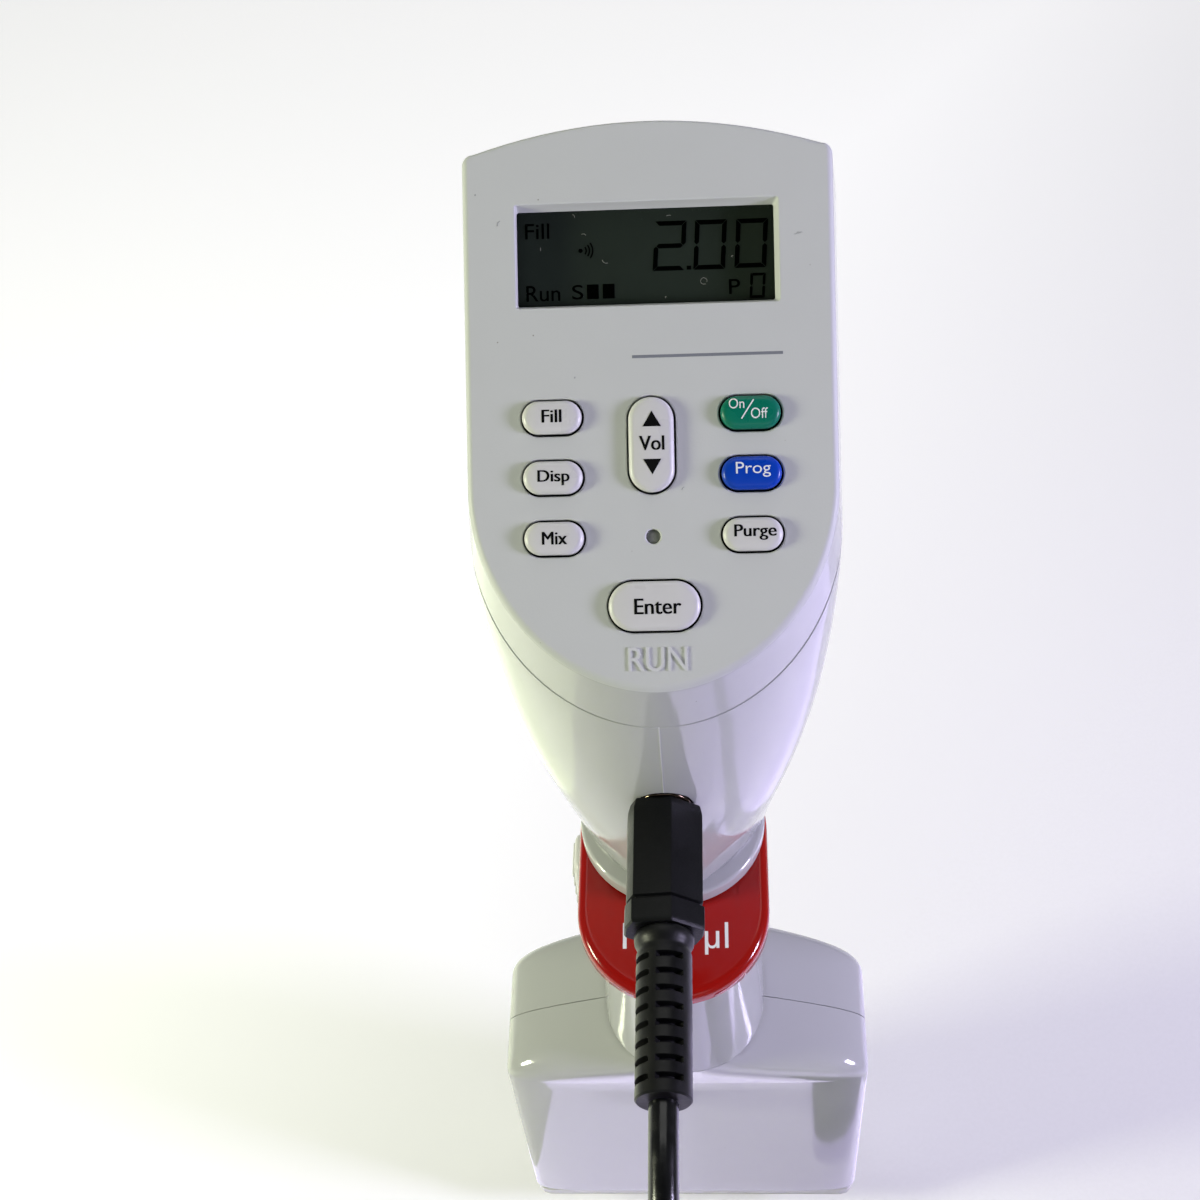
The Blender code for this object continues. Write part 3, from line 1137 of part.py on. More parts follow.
def make_spring(high):
    """Return spring round the rod, between its flange and the bracket."""
    top = high - GAP - SPRING_WIRE
    bottom = BRACKET_TOP_Z + GAP + SPRING_WIRE
    steps = SPRING_TURNS * SPRING_STEPS
    curve = bpy.data.curves.new("ejector_spring", "CURVE")
    curve.dimensions = "3D"
    curve.bevel_depth = SPRING_WIRE
    curve.bevel_resolution = 0
    curve.use_fill_caps = True
    line = curve.splines.new("POLY")
    line.points.add(steps)
    for i, spot in enumerate(line.points):
        turn = 2 * math.pi * SPRING_TURNS * i / steps
        x = SPRING_RADIUS * math.cos(turn)
        y = SPRING_RADIUS * math.sin(turn)
        spot.co = (x, y, blend(bottom, top, i / steps), 1.0)
    curve.materials.append(make_material("steel"))
    spring = bpy.data.objects.new("ejector_spring", curve)
    spring.parent = handle
    spring.location = (EJECT_X, EJECT_Y, 0)
    parts.objects.link(spring)


KEYS = (
    ("key_fill", -KEY_COLUMN, KEY_ROWS_Y[0], KEY_WIDTH, KEY_HEIGHT),
    ("key_dispense", -KEY_COLUMN, KEY_ROWS_Y[1], KEY_WIDTH, KEY_HEIGHT),
    ("key_mix", -KEY_COLUMN, KEY_ROWS_Y[2], KEY_WIDTH, KEY_HEIGHT),
    ("key_volume", 0.0, VOLUME_Y, VOLUME_WIDTH, VOLUME_HEIGHT),
    ("key_power", KEY_COLUMN, KEY_ROWS_Y[0], KEY_WIDTH, KEY_HEIGHT),
    ("key_program", KEY_COLUMN, KEY_ROWS_Y[1], KEY_WIDTH, KEY_HEIGHT),
    ("key_purge", KEY_COLUMN, KEY_ROWS_Y[2], KEY_WIDTH, KEY_HEIGHT),
    ("key_enter", 0.0, ENTER_Y, ENTER_WIDTH, ENTER_HEIGHT),
)

for old in list(bpy.data.objects):
    bpy.data.objects.remove(old, do_unlink=True)
parts = bpy.data.collections.new("multichannel_pipette")
cutters = bpy.data.collections.new("cutters")
bpy.context.scene.collection.children.link(parts)
bpy.context.scene.collection.children.link(cutters)
handle = bpy.data.objects.new("handle_axis", None)
handle.location = (0, HANDLE_AXIS_Y, 0)
face = bpy.data.objects.new("face_plane", None)
face.parent = handle
face.location = (0, FACE_NEAR_Y, FACE_NEAR_Z)
face.rotation_euler = (TILT, 0, 0)
parts.objects.link(handle)
parts.objects.link(face)

make_keypad_cover()
make_keys()
make_face_stack()
make_battery()
make_body_shells(make_trigger())
make_collar_and_hook()
make_charge_socket()
make_cord(make_plug())
make_coil_and_adapter()
make_motor()
make_piston_group()
make_cylinder_block()
make_manifold_covers()
make_ejector()
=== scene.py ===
import json
import math

import bmesh
import bpy
import numpy as np
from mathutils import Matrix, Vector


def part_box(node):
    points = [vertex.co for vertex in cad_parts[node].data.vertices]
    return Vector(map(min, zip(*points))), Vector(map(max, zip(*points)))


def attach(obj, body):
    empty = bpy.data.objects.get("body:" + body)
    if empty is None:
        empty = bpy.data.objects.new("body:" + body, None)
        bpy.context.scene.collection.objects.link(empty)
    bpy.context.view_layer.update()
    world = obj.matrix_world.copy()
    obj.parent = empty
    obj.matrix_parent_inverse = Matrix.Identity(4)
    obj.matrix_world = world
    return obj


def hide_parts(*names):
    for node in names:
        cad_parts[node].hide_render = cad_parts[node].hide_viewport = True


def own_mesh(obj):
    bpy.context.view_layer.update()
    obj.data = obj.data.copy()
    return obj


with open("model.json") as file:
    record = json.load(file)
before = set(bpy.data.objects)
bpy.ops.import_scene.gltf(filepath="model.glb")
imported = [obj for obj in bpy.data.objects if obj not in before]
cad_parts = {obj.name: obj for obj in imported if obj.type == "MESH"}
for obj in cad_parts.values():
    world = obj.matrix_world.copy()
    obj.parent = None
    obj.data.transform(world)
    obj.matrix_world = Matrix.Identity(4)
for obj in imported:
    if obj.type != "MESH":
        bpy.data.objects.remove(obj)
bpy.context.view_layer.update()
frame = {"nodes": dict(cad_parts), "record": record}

# Frames of the part, in metres: the handle's axis, and the near edge of the sloping face
gap = 0.0003
mm = 0.001
handleY = 0.028
faceTilt = math.radians(36)
faceOrigin = np.array([0, 0.0085, 0.084])
faceAlong = np.array([0, math.cos(faceTilt), math.sin(faceTilt)])
faceNormal = np.array([0, -math.sin(faceTilt), math.cos(faceTilt)])


# World points from the face's own x, y and height above it
def onFace(x, y, z):
    x, y, z = np.broadcast_arrays(np.asarray(x, float), y, z)
    return faceOrigin + x[..., None] * [1, 0, 0] + y[..., None] * faceAlong + z[..., None] * faceNormal


# The photograph's own view: above and in front of the head, through a short standard lens
def addCamera():
    camera = bpy.data.objects.new("Camera", bpy.data.cameras.new("Camera"))
    bpy.context.collection.objects.link(camera)
    camera.location = (0.0118, -0.16405, 0.33951)
    camera.rotation_euler = (0.643, 0.0663, 0.0241)
    camera.data.sensor_width = 36
    camera.data.lens = 55.91
    camera.data.clip_start = 0.01
    bpy.context.scene.camera = camera


addCamera()
print("camera set")


# Linear colour from sRGB hex
def linear(hexColour, alpha=1.0):
    c = np.array([int(hexColour[i:i + 2], 16) for i in (1, 3, 5)]) / 255
    return (*np.where(c <= 0.04045, c / 12.92, ((c + 0.055) / 1.055) ** 2.4).tolist(), alpha)


# Adds a node with its settings; each input is a value, or a socket to link
def addNode(tree, kind, inputs=None, **settings):
    node = tree.nodes.new("ShaderNode" + kind)
    for name, value in settings.items():
        setattr(node, name, value)
    for name, value in (inputs or {}).items():
        if isinstance(value, bpy.types.NodeSocket):
            tree.links.new(value, node.inputs[name])
        else:
            node.inputs[name].default_value = value
    return node


# Mesh from rows of points and lists of faces: doubles merged, faces out, smooth under the angle
def buildMesh(name, points, faces, closed=True, angle=38):
    mesh = bpy.data.meshes.new(name)
    mesh.from_pydata(np.asarray(points, float).reshape(-1, 3).tolist(), [],
                     faces.tolist() if isinstance(faces, np.ndarray) else faces)
    shape = bmesh.new()
    shape.from_mesh(mesh)
    bmesh.ops.remove_doubles(shape, verts=shape.verts, dist=2e-6)
    if closed:
        bmesh.ops.recalc_face_normals(shape, faces=shape.faces)
    shape.to_mesh(mesh)
    shape.free()
    return smoothed(mesh, angle)


# Smooth faces, with sharp edges where two of them meet at more than the angle
def smoothed(mesh, angle=38):
    mesh.shade_smooth()
    mesh.set_sharp_from_angle(angle=math.radians(angle))
    return mesh


# A mesh in the scene, on its CAD body, with its finish and the nodes that it stands for
def addPiece(name, mesh, body, material, nodes=()):
    for one in material if isinstance(material, list) else [material]:
        mesh.materials.append(one)
    piece = bpy.data.objects.new(name, mesh)
    bpy.context.collection.objects.link(piece)
    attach(piece, body)
    if nodes:
        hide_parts(*nodes)
    return piece


# Several meshes made one
def together(name, meshes, angle=38):
    shape = bmesh.new()
    for mesh in meshes:
        shape.from_mesh(mesh)
        bpy.data.meshes.remove(mesh)
    whole = bpy.data.meshes.new(name)
    shape.to_mesh(whole)
    shape.free()
    return smoothed(whole, angle)


# A mesh cut by others, or joined with them, by exact Booleans
def carve(mesh, tools, operation="DIFFERENCE", angle=38):
    target = bpy.data.objects.new("target", mesh)
    bpy.context.collection.objects.link(target)
    helpers = []
    for tool in tools:
        helper = bpy.data.objects.new("tool", tool)
        bpy.context.collection.objects.link(helper)
        step = target.modifiers.new("carve", "BOOLEAN")
        step.solver, step.operation, step.object = "EXACT", operation, helper
        helpers.append(helper)
    bpy.context.view_layer.update()
    made = bpy.data.meshes.new_from_object(target.evaluated_get(bpy.context.evaluated_depsgraph_get()))
    made.name = mesh.name
    for old in [target] + helpers:
        data = old.data
        bpy.data.objects.remove(old)
        bpy.data.meshes.remove(data)
    return smoothed(made, angle)


# Quads of a grid of points numbered row by row, closed round its columns where it wraps
def gridFaces(rows, columns, wrap=True):
    row, column = np.meshgrid(np.arange(rows - 1), np.arange(columns if wrap else columns - 1), indexing="ij")
    a, b = row * columns + column, row * columns + (column + 1) % columns
    return np.stack([a, b, b + columns, a + columns], -1).reshape(-1, 4)


# Closed solid through equal rings of points, with flat ends
def loft(name, rings, angle=38, ends=True):
    rings = np.asarray(rings)
    rows, columns = rings.shape[:2]
    faces = gridFaces(rows, columns).tolist()
    if ends:
        faces += [list(range(columns))[::-1], list(range((rows - 1) * columns, rows * columns))]
    return buildMesh(name, rings, faces, angle=angle)


# Profile of radius and height spun about an axis; a ring's profile joins its own start
def lathe(name, profile, place=(0, 0, 0), axis=(0, 0, 1), start=(1, 0, 0), steps=96, angle=38, ring=False):
    profile = np.array(list(profile) + ([profile[0]] if ring else []), float)
    along, side = np.array(axis, float), np.array(start, float)
    turn = np.linspace(0, 2 * np.pi, steps, endpoint=False)[:, None]
    spoke = np.cos(turn) * side + np.sin(turn) * np.cross(along, side)
    points = np.array(place) + profile[:, None, :1] * spoke[None] + profile[:, None, 1:] * along
    return buildMesh(name, points, gridFaces(len(profile), steps), angle=angle)


# Line whose inner corners are rounded: each becomes a quadratic curve between two points near it
def roundedLine(points, radius, steps=5, closed=False):
    points = np.array(points, float)
    if closed:
        points = np.vstack([points[-1:], points, points[:1]])
    made = [] if closed else [points[:1]]
    share = np.linspace(0, 1, steps)[:, None]
    for before, corner, after in zip(points, points[1:], points[2:]):
        reach = [np.linalg.norm(end - corner) for end in (before, after)]
        cut = min(radius, 0.45 * reach[0], 0.45 * reach[1])
        a, b = (corner + (end - corner) * cut / far for end, far in zip((before, after), reach))
        made.append((1 - share) ** 2 * a + 2 * share * (1 - share) * corner + share ** 2 * b)
    return np.vstack(made if closed else made + [points[-1:]])


# Value at a share of the way from start to end
def blend(start, end, share):
    return start + (end - start) * share


# Quarter round's steps down and in, from a flat top to an upright side
def quarterRound(radius, steps):
    turn = np.linspace(0, np.pi / 2, steps)
    return np.column_stack([radius * (1 - np.cos(turn)), radius * (1 - np.sin(turn))])


# Outline of a rounded rectangle grown outwards, anticlockwise, with arcs of equal steps
def stadium(width, height, corner, grow=0.0, steps=12):
    corner = min(corner, width / 2, height / 2)
    radius = max(corner + grow, 1e-5)
    turn = np.linspace(0, np.pi / 2, steps)
    arcs = [np.column_stack([sx * (width / 2 - corner) + radius * np.cos(turn + quarter * np.pi / 2),
                             sy * (height / 2 - corner) + radius * np.sin(turn + quarter * np.pi / 2)])
            for quarter, (sx, sy) in enumerate(((1, 1), (-1, 1), (-1, -1), (1, -1)))]
    points = np.vstack(arcs)
    return points[np.hypot(*(points - np.roll(points, 1, 0)).T) > 1e-9]


# Level ring: an outline set about a middle point, at one height
def levelRing(outline, z, middle):
    return np.column_stack([middle[0] + outline[:, 0], middle[1] + outline[:, 1], np.full(len(outline), z)])


# Upright block with round corners and rims, or a plain box where its edge is 0
def blockMesh(name, low, high, edge=0.0, steps=4):
    low, high = np.array(low, float), np.array(high, float)
    size, middle = high - low, (high + low) / 2
    levels = [(low[2], 0), (high[2], 0)]
    if edge:
        edges = quarterRound(edge, steps)
        levels = [(low[2] + a, b) for a, b in edges] + [(high[2] - a, b) for a, b in edges[::-1]]
    count = 2 * steps if edge else 1
    return loft(name, [levelRing(stadium(size[0], size[1], max(edge, 1e-6), -inset, count), z, middle)
                       for z, inset in levels])


# Half outlines at +x, near end to far: a superellipse nose, a straight side, a round corner and an arched far
# edge. Each argument may be a row of values, one for each ring
def nosedHalf(width, front, back, nose, power, corner, crown, steps=(40, 8, 10, 8)):
    given = [np.atleast_1d(np.asarray(v, float)) for v in (width, front, back, nose, power, corner, crown)]
    width, front, back, nose, power, corner, crown = (v[:, None] for v in np.broadcast_arrays(*given))
    half = width / 2
    corner = np.minimum(corner, 0.9 * half)
    cornerY = back - crown * ((half - corner) / half) ** 2 - corner
    turn = (np.linspace(0, 1, steps[0] + 1) ** 1.2 * np.pi / 2)[None]
    noseX = half * np.sin(turn) ** (2 / power)
    noseY = front + nose * (1 - np.clip(np.cos(turn), 0, 1) ** (2 / power))
    share = (np.arange(1, steps[1]) / steps[1])[None]
    sideX, sideY = half + 0 * share, front + nose + (cornerY - front - nose) * share
    turn = np.linspace(0, np.pi / 2, steps[2] + 1)[None]
    arcX, arcY = half - corner + corner * np.cos(turn), cornerY + corner * np.sin(turn)
    farX = (half - corner) * (1 - np.arange(1, steps[3] + 1) / steps[3])[None]
    farY = back - crown * (farX / half) ** 2
    return np.stack([np.hstack([noseX, sideX, arcX, farX]), np.hstack([noseY, sideY, arcY, farY])], -1)


# Whole closed outline from its half at +x
def wholeRing(half):
    mirrored = half[..., -2:0:-1, :] * ([-1] + [1] * (half.shape[-1] - 1))
    return np.concatenate([half, mirrored], -2)


# Moulded polymer, metal or ink: its tone drifts, its gloss wears, and its skin has waves and a fine grain.
# Sizes are in millimetres, depths in metres. A pixel of the view is 0.22 mm, so grain is drawn that coarse
def mouldedFinish(name, colour, roughness, grain, grainDepth, drift=0.04, driftSize=14, wear=0.06, wearSize=6,
                  wave=16, waveDepth=0.0, specks=0.0, speckEvery=5, speckColour="#8a8980", coat=0.0,
                  coatRoughness=0.04, metallic=0.0, subsurface=0.0, alpha=1.0, specular=0.5,
                  stretch=(1, 1, 1)):
    material = bpy.data.materials.new(name)
    material.use_nodes = True
    tree = material.node_tree
    shader = tree.nodes["Principled BSDF"]
    place = addNode(tree, "TexCoord").outputs["Object"]
    scale = [1000 * side for side in stretch]
    where = addNode(tree, "Mapping", {"Vector": place, "Scale": scale}).outputs["Vector"]
    tones = [[min(c * (1 + side * drift), 1.0) for c in linear(colour)[:3]] + [1.0] for side in (-1, 1)]
    cloud = addNode(tree, "TexNoise", {"Vector": where, "Scale": 1 / driftSize, "Detail": 3.0})
    tone = addNode(tree, "Mix", {0: cloud.outputs["Fac"], 6: tones[0], 7: tones[1]},
                   data_type="RGBA").outputs[2]
    if specks:
        dots = addNode(tree, "TexVoronoi", {"Vector": where, "Scale": 1 / speckEvery})
        near = addNode(tree, "MapRange", {"Value": dots.outputs["Distance"], "From Min": 0.4 * specks,
                                          "From Max": specks, "To Min": 1.0, "To Max": 0.0})
        tone = addNode(tree, "Mix", {0: near.outputs["Result"], 6: tone, 7: linear(speckColour)},
                       data_type="RGBA").outputs[2]
    tree.links.new(tone, shader.inputs["Base Color"])
    rub = addNode(tree, "TexNoise", {"Vector": where, "Scale": 1 / wearSize, "Detail": 4.0})
    gloss = addNode(tree, "MapRange", {"Value": rub.outputs["Fac"], "From Min": 0.3, "From Max": 0.7,
                                       "To Min": max(roughness - wear, 0.02), "To Max": roughness + wear})
    tree.links.new(gloss.outputs["Result"], shader.inputs["Roughness"])
    skin = addNode(tree, "TexNoise", {"Vector": where, "Scale": 1 / grain, "Detail": 2.0})
    bump = addNode(tree, "Bump", {"Height": skin.outputs["Fac"], "Strength": 1.0, "Distance": grainDepth})
    if waveDepth:
        swell = addNode(tree, "TexNoise", {"Vector": where, "Scale": 1 / wave, "Detail": 1.0})
        under = addNode(tree, "Bump", {"Height": swell.outputs["Fac"], "Strength": 1.0,
                                       "Distance": waveDepth})
        tree.links.new(under.outputs["Normal"], bump.inputs["Normal"])
    tree.links.new(bump.outputs["Normal"], shader.inputs["Normal"])
    settings = {"Metallic": metallic, "Coat Weight": coat, "Coat Roughness": coatRoughness, "Alpha": alpha,
                "Subsurface Weight": subsurface, "Subsurface Radius": (0.0009, 0.0008, 0.0006),
                "Subsurface Scale": 1.0, "Specular IOR Level": specular}
    for socket, value in settings.items():
        shader.inputs[socket].default_value = value
    return material


finish = {}
for name, look in {
    # Spark-eroded ABS: a dry satin skin that spreads every reflection, with a little dust in its pores
    "satinAbs": dict(colour="#c9ccc9", roughness=0.5, grain=0.34, grainDepth=1.6e-5, drift=0.012,
                     driftSize=18, specks=0.03, speckEvery=5.5),
    # The same ABS where raised letters and parting edges are rubbed smooth, painted paler than the face as a
    # painted highlight where light catches their edges
    "reliefAbs": dict(colour="#d3d5d4", roughness=0.35, grain=0.3, grainDepth=4e-6, drift=0.01),
    # Polished ABS: mirror-like where clean, hazier where hands rub it, with the mould's faint waves
    "glossAbs": dict(colour="#b9bbba", roughness=0.09, grain=0.5, grainDepth=1e-6, drift=0.012, wearSize=9,
                     wear=0.04, waveDepth=9e-5, specks=0.02, speckEvery=7, specular=0.7),
    # Key caps of cast urethane, with a soft silk gloss
    "urethaneWhite": dict(colour="#d3d3d1", roughness=0.32, grain=0.3, grainDepth=4e-6, drift=0.02,
                          driftSize=3),
    "urethaneGreen": dict(colour="#08745c", roughness=0.3, specular=0.3, grain=0.3, grainDepth=4e-6,
                          drift=0.07, driftSize=3),
    "urethaneBlue": dict(colour="#0640b4", roughness=0.3, specular=0.3, grain=0.3, grainDepth=4e-6,
                         drift=0.07, driftSize=3),
    # Polished red polycarbonate: deep colour under a clear skin
    "redPolycarbonate": dict(colour="#9c110b", roughness=0.12, grain=0.6, grainDepth=2e-6, drift=0.05,
                             wear=0.04, wave=9, waveDepth=5e-5, specular=0.4),
    # Spark-eroded black polyamide: a leather-like grain that greys its highlights
    "blackPolyamide": dict(colour="#070909", roughness=0.45, specular=0.22, grain=0.4, grainDepth=5e-5,
                           drift=0.15, driftSize=4, specks=0.02, speckEvery=3, speckColour="#3a3b35"),
    # Extruded black PVC: long glossy highlights, a little scuffed
    "blackPvc": dict(colour="#08090a", roughness=0.24, specular=0.55, grain=0.9, grainDepth=1.5e-5,
                     drift=0.2, wear=0.1, wearSize=4, wave=6, waveDepth=3e-5),
    # Moulded rubber: dull, with a coarse skin that breaks up its highlights
    "blackRubber": dict(colour="#050606", roughness=0.42, specular=0.3, grain=0.6, grainDepth=2.5e-5,
                        drift=0.15, wear=0.1),
    "greyRubber": dict(colour="#8b8d8c", roughness=0.7, grain=0.6, grainDepth=3e-5),
    # Unfilled polypropylene of the channels: milky, lit a little from within
    "milkyPolypropylene": dict(colour="#cdcec8", roughness=0.34, grain=0.5, grainDepth=1e-5,
                               subsurface=0.15),
    # Green lacquer mottled by the tracks below it, and the film shrunk over the cells
    "solderMask": dict(colour="#14542f", roughness=0.3, grain=1.4, grainDepth=3e-5, drift=0.3,
                       driftSize=1.5),
    "shrinkWrap": dict(colour="#2f6a4c", roughness=0.35, grain=2.5, grainDepth=6e-5, drift=0.1, wear=0.1),
    # Turned steel: tool lines round the axis, small changes of gloss
    "turnedSteel": dict(colour="#bfbdb8", roughness=0.24, grain=0.6, grainDepth=8e-6, drift=0.05,
                        metallic=1.0, wearSize=2, stretch=(0.3, 0.3, 3)),
    # Polished bronze, darkened: only its rim catches the light
    "darkBronze": dict(colour="#4d4238", roughness=0.18, grain=0.4, grainDepth=1e-6, drift=0.1,
                       metallic=1.0, wear=0.05),
    # Pad-printed inks, thin and matt, and dry dust
    "blackInk": dict(colour="#050506", roughness=0.5, specular=0.15, grain=0.25, grainDepth=2e-6, drift=0.1),
    "greyInk": dict(colour="#7b7f86", roughness=0.5, grain=0.25, grainDepth=2e-6, drift=0.05),
    "dust": dict(colour="#a3a398", roughness=0.8, grain=0.3, grainDepth=1e-6),
    "whiteInk": dict(colour="#eceeee", roughness=0.45, grain=0.25, grainDepth=2e-6, drift=0.02),
    # Liquid crystal cell over its reflector: dark olive and faintly blotched, under polished glass
    "displayCell": dict(colour="#2c342d", roughness=0.6, grain=0.35, grainDepth=2e-6, drift=0.09,
                        driftSize=11, specular=0.0),
    "displayDye": dict(colour="#010201", roughness=0.6, grain=0.25, grainDepth=1e-6, specular=0.0),
    # Frosted polycarbonate of the light guide, unlit
    "lightGuide": dict(colour="#757871", roughness=0.3, grain=0.3, grainDepth=5e-6, coat=0.3),
    # Hard-coated acrylic: nearly unseen, a thin gloss and a little dust
    "clearAcrylic": dict(colour="#0a0c0a", roughness=0.05, grain=0.6, grainDepth=1e-6, wear=0.03, alpha=0.05,
                         specks=0.02, speckEvery=6, speckColour="#ffffff"),
}.items():
    finish[name] = mouldedFinish(name, **look)
print("finishes made:", len(finish))

# Power supply, inside the box of the CAD part: a rounded case with a parting groove, its lead's neck and two
# blades. A level of the case is a rounded rectangle, drawn in at the rims and in the groove
adapterBox = [np.array(v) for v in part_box("wall_adapter")]
adapter = {"neck": 0.008, "blade": 0.016, "edge": 0.0022, "corner": 0.0045, "parting": 0.55,
           "groove": ((-0.3, 0), (-0.2, 0.3), (0.2, 0.3), (0.3, 0)), "bladeHalf": (0.00315, 0.00075),
           "bladeOff": 0.00635}


def makeAdapter():
    low, high = adapterBox
    neckLength, edges = adapter["neck"], quarterRound(adapter["edge"], 8)
    lowX, highX = low[0] + neckLength, high[0] - adapter["blade"]
    middle = np.array([(lowX + highX) / 2, (low[1] + high[1]) / 2])
    height = (low[2] + high[2]) / 2
    parting = blend(low[2], high[2], adapter["parting"])
    levels = [(low[2] + a, b) for a, b in edges]
    levels += [(parting + a * mm, b * mm) for a, b in adapter["groove"]]
    levels += [(high[2] - a, b) for a, b in edges[::-1]]
    rings = [levelRing(stadium(highX - lowX, high[1] - low[1], adapter["corner"], -inset, 12), z, middle)
             for z, inset in levels]
    neck = lathe("neck", [(0, -0.002), (0.0046, -0.002), (0.0045, 0.0004), (0.0038, 0.005),
                          (0.0036, neckLength), (0, neckLength)],
                 (lowX, middle[1], height), (-1, 0, 0), (0, 1, 0), 56)
    wide, thick = adapter["bladeHalf"]
    blades = [blockMesh("blade", (highX - 0.001, middle[1] - wide, height + off - thick),
                        (high[0], middle[1] + wide, height + off + thick), 0.0004)
              for off in (-adapter["bladeOff"], adapter["bladeOff"])]
    addPiece("adapter_case", carve(loft("adapter_case", rings, 35), [neck], "UNION", 35), "casing",
             finish["blackPolyamide"], ["wall_adapter"])
    addPiece("adapter_blades", together("adapter_blades", blades), "casing", finish["turnedSteel"])


makeAdapter()

# The charging lead: out of its sleeve, down to the bench, into a flat coil of two layers and its power
# supply. The layers are circles; each turn shifts to the next circle while it passes one part of the coil
lead = {"radius": 0.0025, "jackZ": 0.0478, "exitY": -0.0482, "bench": -0.1823, "lift": 0.0002, "turns": 7,
        "coilCentre": (-0.003, -0.062), "coilMiddle": 0.029, "columns": 4, "pitch": 0.00508,
        "shiftFrom": 230, "shiftOver": 120, "runIn": 70, "spacing": 0.0035}


# Catmull-Rom curve through the points, taken at even steps along its length
def evenRoute(points, spacing):
    p = np.array(points, float)
    p = np.vstack([2 * p[:1] - p[1:2], p, 2 * p[-1:] - p[-2:-1]])
    t = np.linspace(0, 1, 30, endpoint=False)[None, :, None]
    a, b, c, d = (p[k:len(p) - 3 + k, None, :] for k in range(4))
    dense = 0.5 * (2 * b + (c - a) * t + (2 * a - 5 * b + 4 * c - d) * t ** 2
                   + (3 * b - a - 3 * c + d) * t ** 3)
    dense = np.vstack([dense.reshape(-1, 3), p[-2:-1]])
    walked = np.concatenate([[0], np.cumsum(np.linalg.norm(np.diff(dense, axis=0), axis=1))])
    even = np.linspace(0, walked[-1], int(walked[-1] / spacing) + 1)
    return np.column_stack([np.interp(even, walked, dense[:, k]) for k in range(3)])


# Share that starts and ends gently
def eased(share):
    share = np.clip(share, 0, 1)
    return share * share * (3 - 2 * share)


# Coil's points: column and layer step by an eased share inside each shift, the angle runs clockwise
def coilPoints(startX, startY, rest, endTurn):
    centre = np.array(lead["coilCentre"])
    away = np.array([startX, startY]) - centre
    first = math.atan2(away[1], away[0]) % (2 * math.pi)
    last = math.degrees(first) - 90 + 360 * endTurn
    turn = np.arange(0, last, math.degrees(lead["spacing"] / lead["coilMiddle"]))
    column, layer = np.zeros_like(turn), np.zeros_like(turn)
    for k in range(2 * lead["columns"] - 1):
        share = eased((turn - lead["shiftFrom"] - 360 * k) / lead["shiftOver"])
        if k == lead["columns"] - 1:
            layer += share
        else:
            column += share if k < lead["columns"] else -share
    outer = lead["coilMiddle"] + (lead["columns"] - 1) / 2 * lead["pitch"]
    radius = outer - column * lead["pitch"]
    radius += (np.linalg.norm(away) - outer) * (1 - eased(turn / lead["runIn"]))
    angle = first - np.radians(turn)
    return np.column_stack([centre[0] + radius * np.cos(angle), centre[1] + radius * np.sin(angle),
                            rest + layer * lead["pitch"]])


# The lead as a round bar along its hanging part, the coil and the short run into the power supply
def makeLead():
    start, jackZ = lead["exitY"], lead["jackZ"]
    rest = lead["bench"] + lead["radius"] + lead["lift"]
    hanging = [(0, start, jackZ), (0, start - .010, jackZ - .0003), (0, start - .022, jackZ - .0035),
               (0, start - .034, .035), (0, start - .042, .020), (0, start - .0465, 0),
               (0, start - .0485, -.025), (0, start - .0495, -.055), (0, start - .050, -.090),
               (0, start - .0505, -.125), (-.001, start - .0515, -.150), (-.004, start - .0535, -.166),
               (-.011, -.1035, -.1762), (-.022, -.1025, rest), (-.033, -.097, rest),
               (-.0415, -.0875, rest), (-.0448, -.076, rest), (-.0446, -.070, rest)]
    coil = coilPoints(*hanging[-1][:2], rest, lead["turns"])
    low, high = adapterBox
    neck = np.array([low[0] + 0.001, (low[1] + high[1]) / 2, (low[2] + high[2]) / 2])
    tail = [coil[-1], coil[-1] + [.007, 0, .0006], (neck + coil[-1]) / 2 + [0, 0, .0002],
            neck - [.006, 0, .0004], neck]
    points = np.vstack([evenRoute(hanging, lead["spacing"])[:-1], coil[:-1],
                        evenRoute(tail, lead["spacing"])])
    curve = bpy.data.curves.new("charge_lead", "CURVE")
    curve.dimensions = "3D"
    curve.bevel_depth = lead["radius"]
    curve.bevel_resolution = 5
    curve.use_fill_caps = True
    line = curve.splines.new("POLY")
    line.points.add(len(points) - 1)
    line.points.foreach_set("co", np.column_stack([points, np.ones(len(points))]).ravel())
    line.use_smooth = True
    curve.materials.append(finish["blackPvc"])
    piece = bpy.data.objects.new("charge_lead", curve)
    bpy.context.collection.objects.link(piece)
    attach(piece, "casing")
    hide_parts("charge_cord", "cord_coil")


makeLead()


# Head, keypad cover and keys, in metres: each key is its middle on the face, its width and its height
head = {"width": 0.0618, "length": 0.0951, "nose": 0.034, "power": 1.94, "corner": 0.0018, "crown": 0.0052,
        "edge": 0.0011, "wall": 0.0018, "skirt": 0.00809, "draft": 0.0008, "lip": 0.00028, "satinRows": 7}
window = {"x": -0.0002, "y": 0.0725, "width": 0.0436, "height": 0.0172, "corner": 0.0004,
          "floor": (-0.00048, 0.0723, 0.0429, 0.0159)}
keyColumn, keyGap = 0.01645, 0.00035
keys = {
    "key_fill": (-keyColumn, 0.0455, 0.0099, 0.0055), "key_dispense": (-keyColumn, 0.0355, 0.0099, 0.0055),
    "key_mix": (-keyColumn, 0.0254, 0.0099, 0.0055), "key_volume": (0, 0.0406, 0.0075, 0.0158),
    "key_power": (keyColumn, 0.0455, 0.0099, 0.0055), "key_program": (keyColumn, 0.0355, 0.0099, 0.0055),
    "key_purge": (keyColumn, 0.0254, 0.0099, 0.0055), "key_enter": (0, 0.0139, 0.0152, 0.0082),
}
lightY, lightRadius = 0.0254, 0.0012


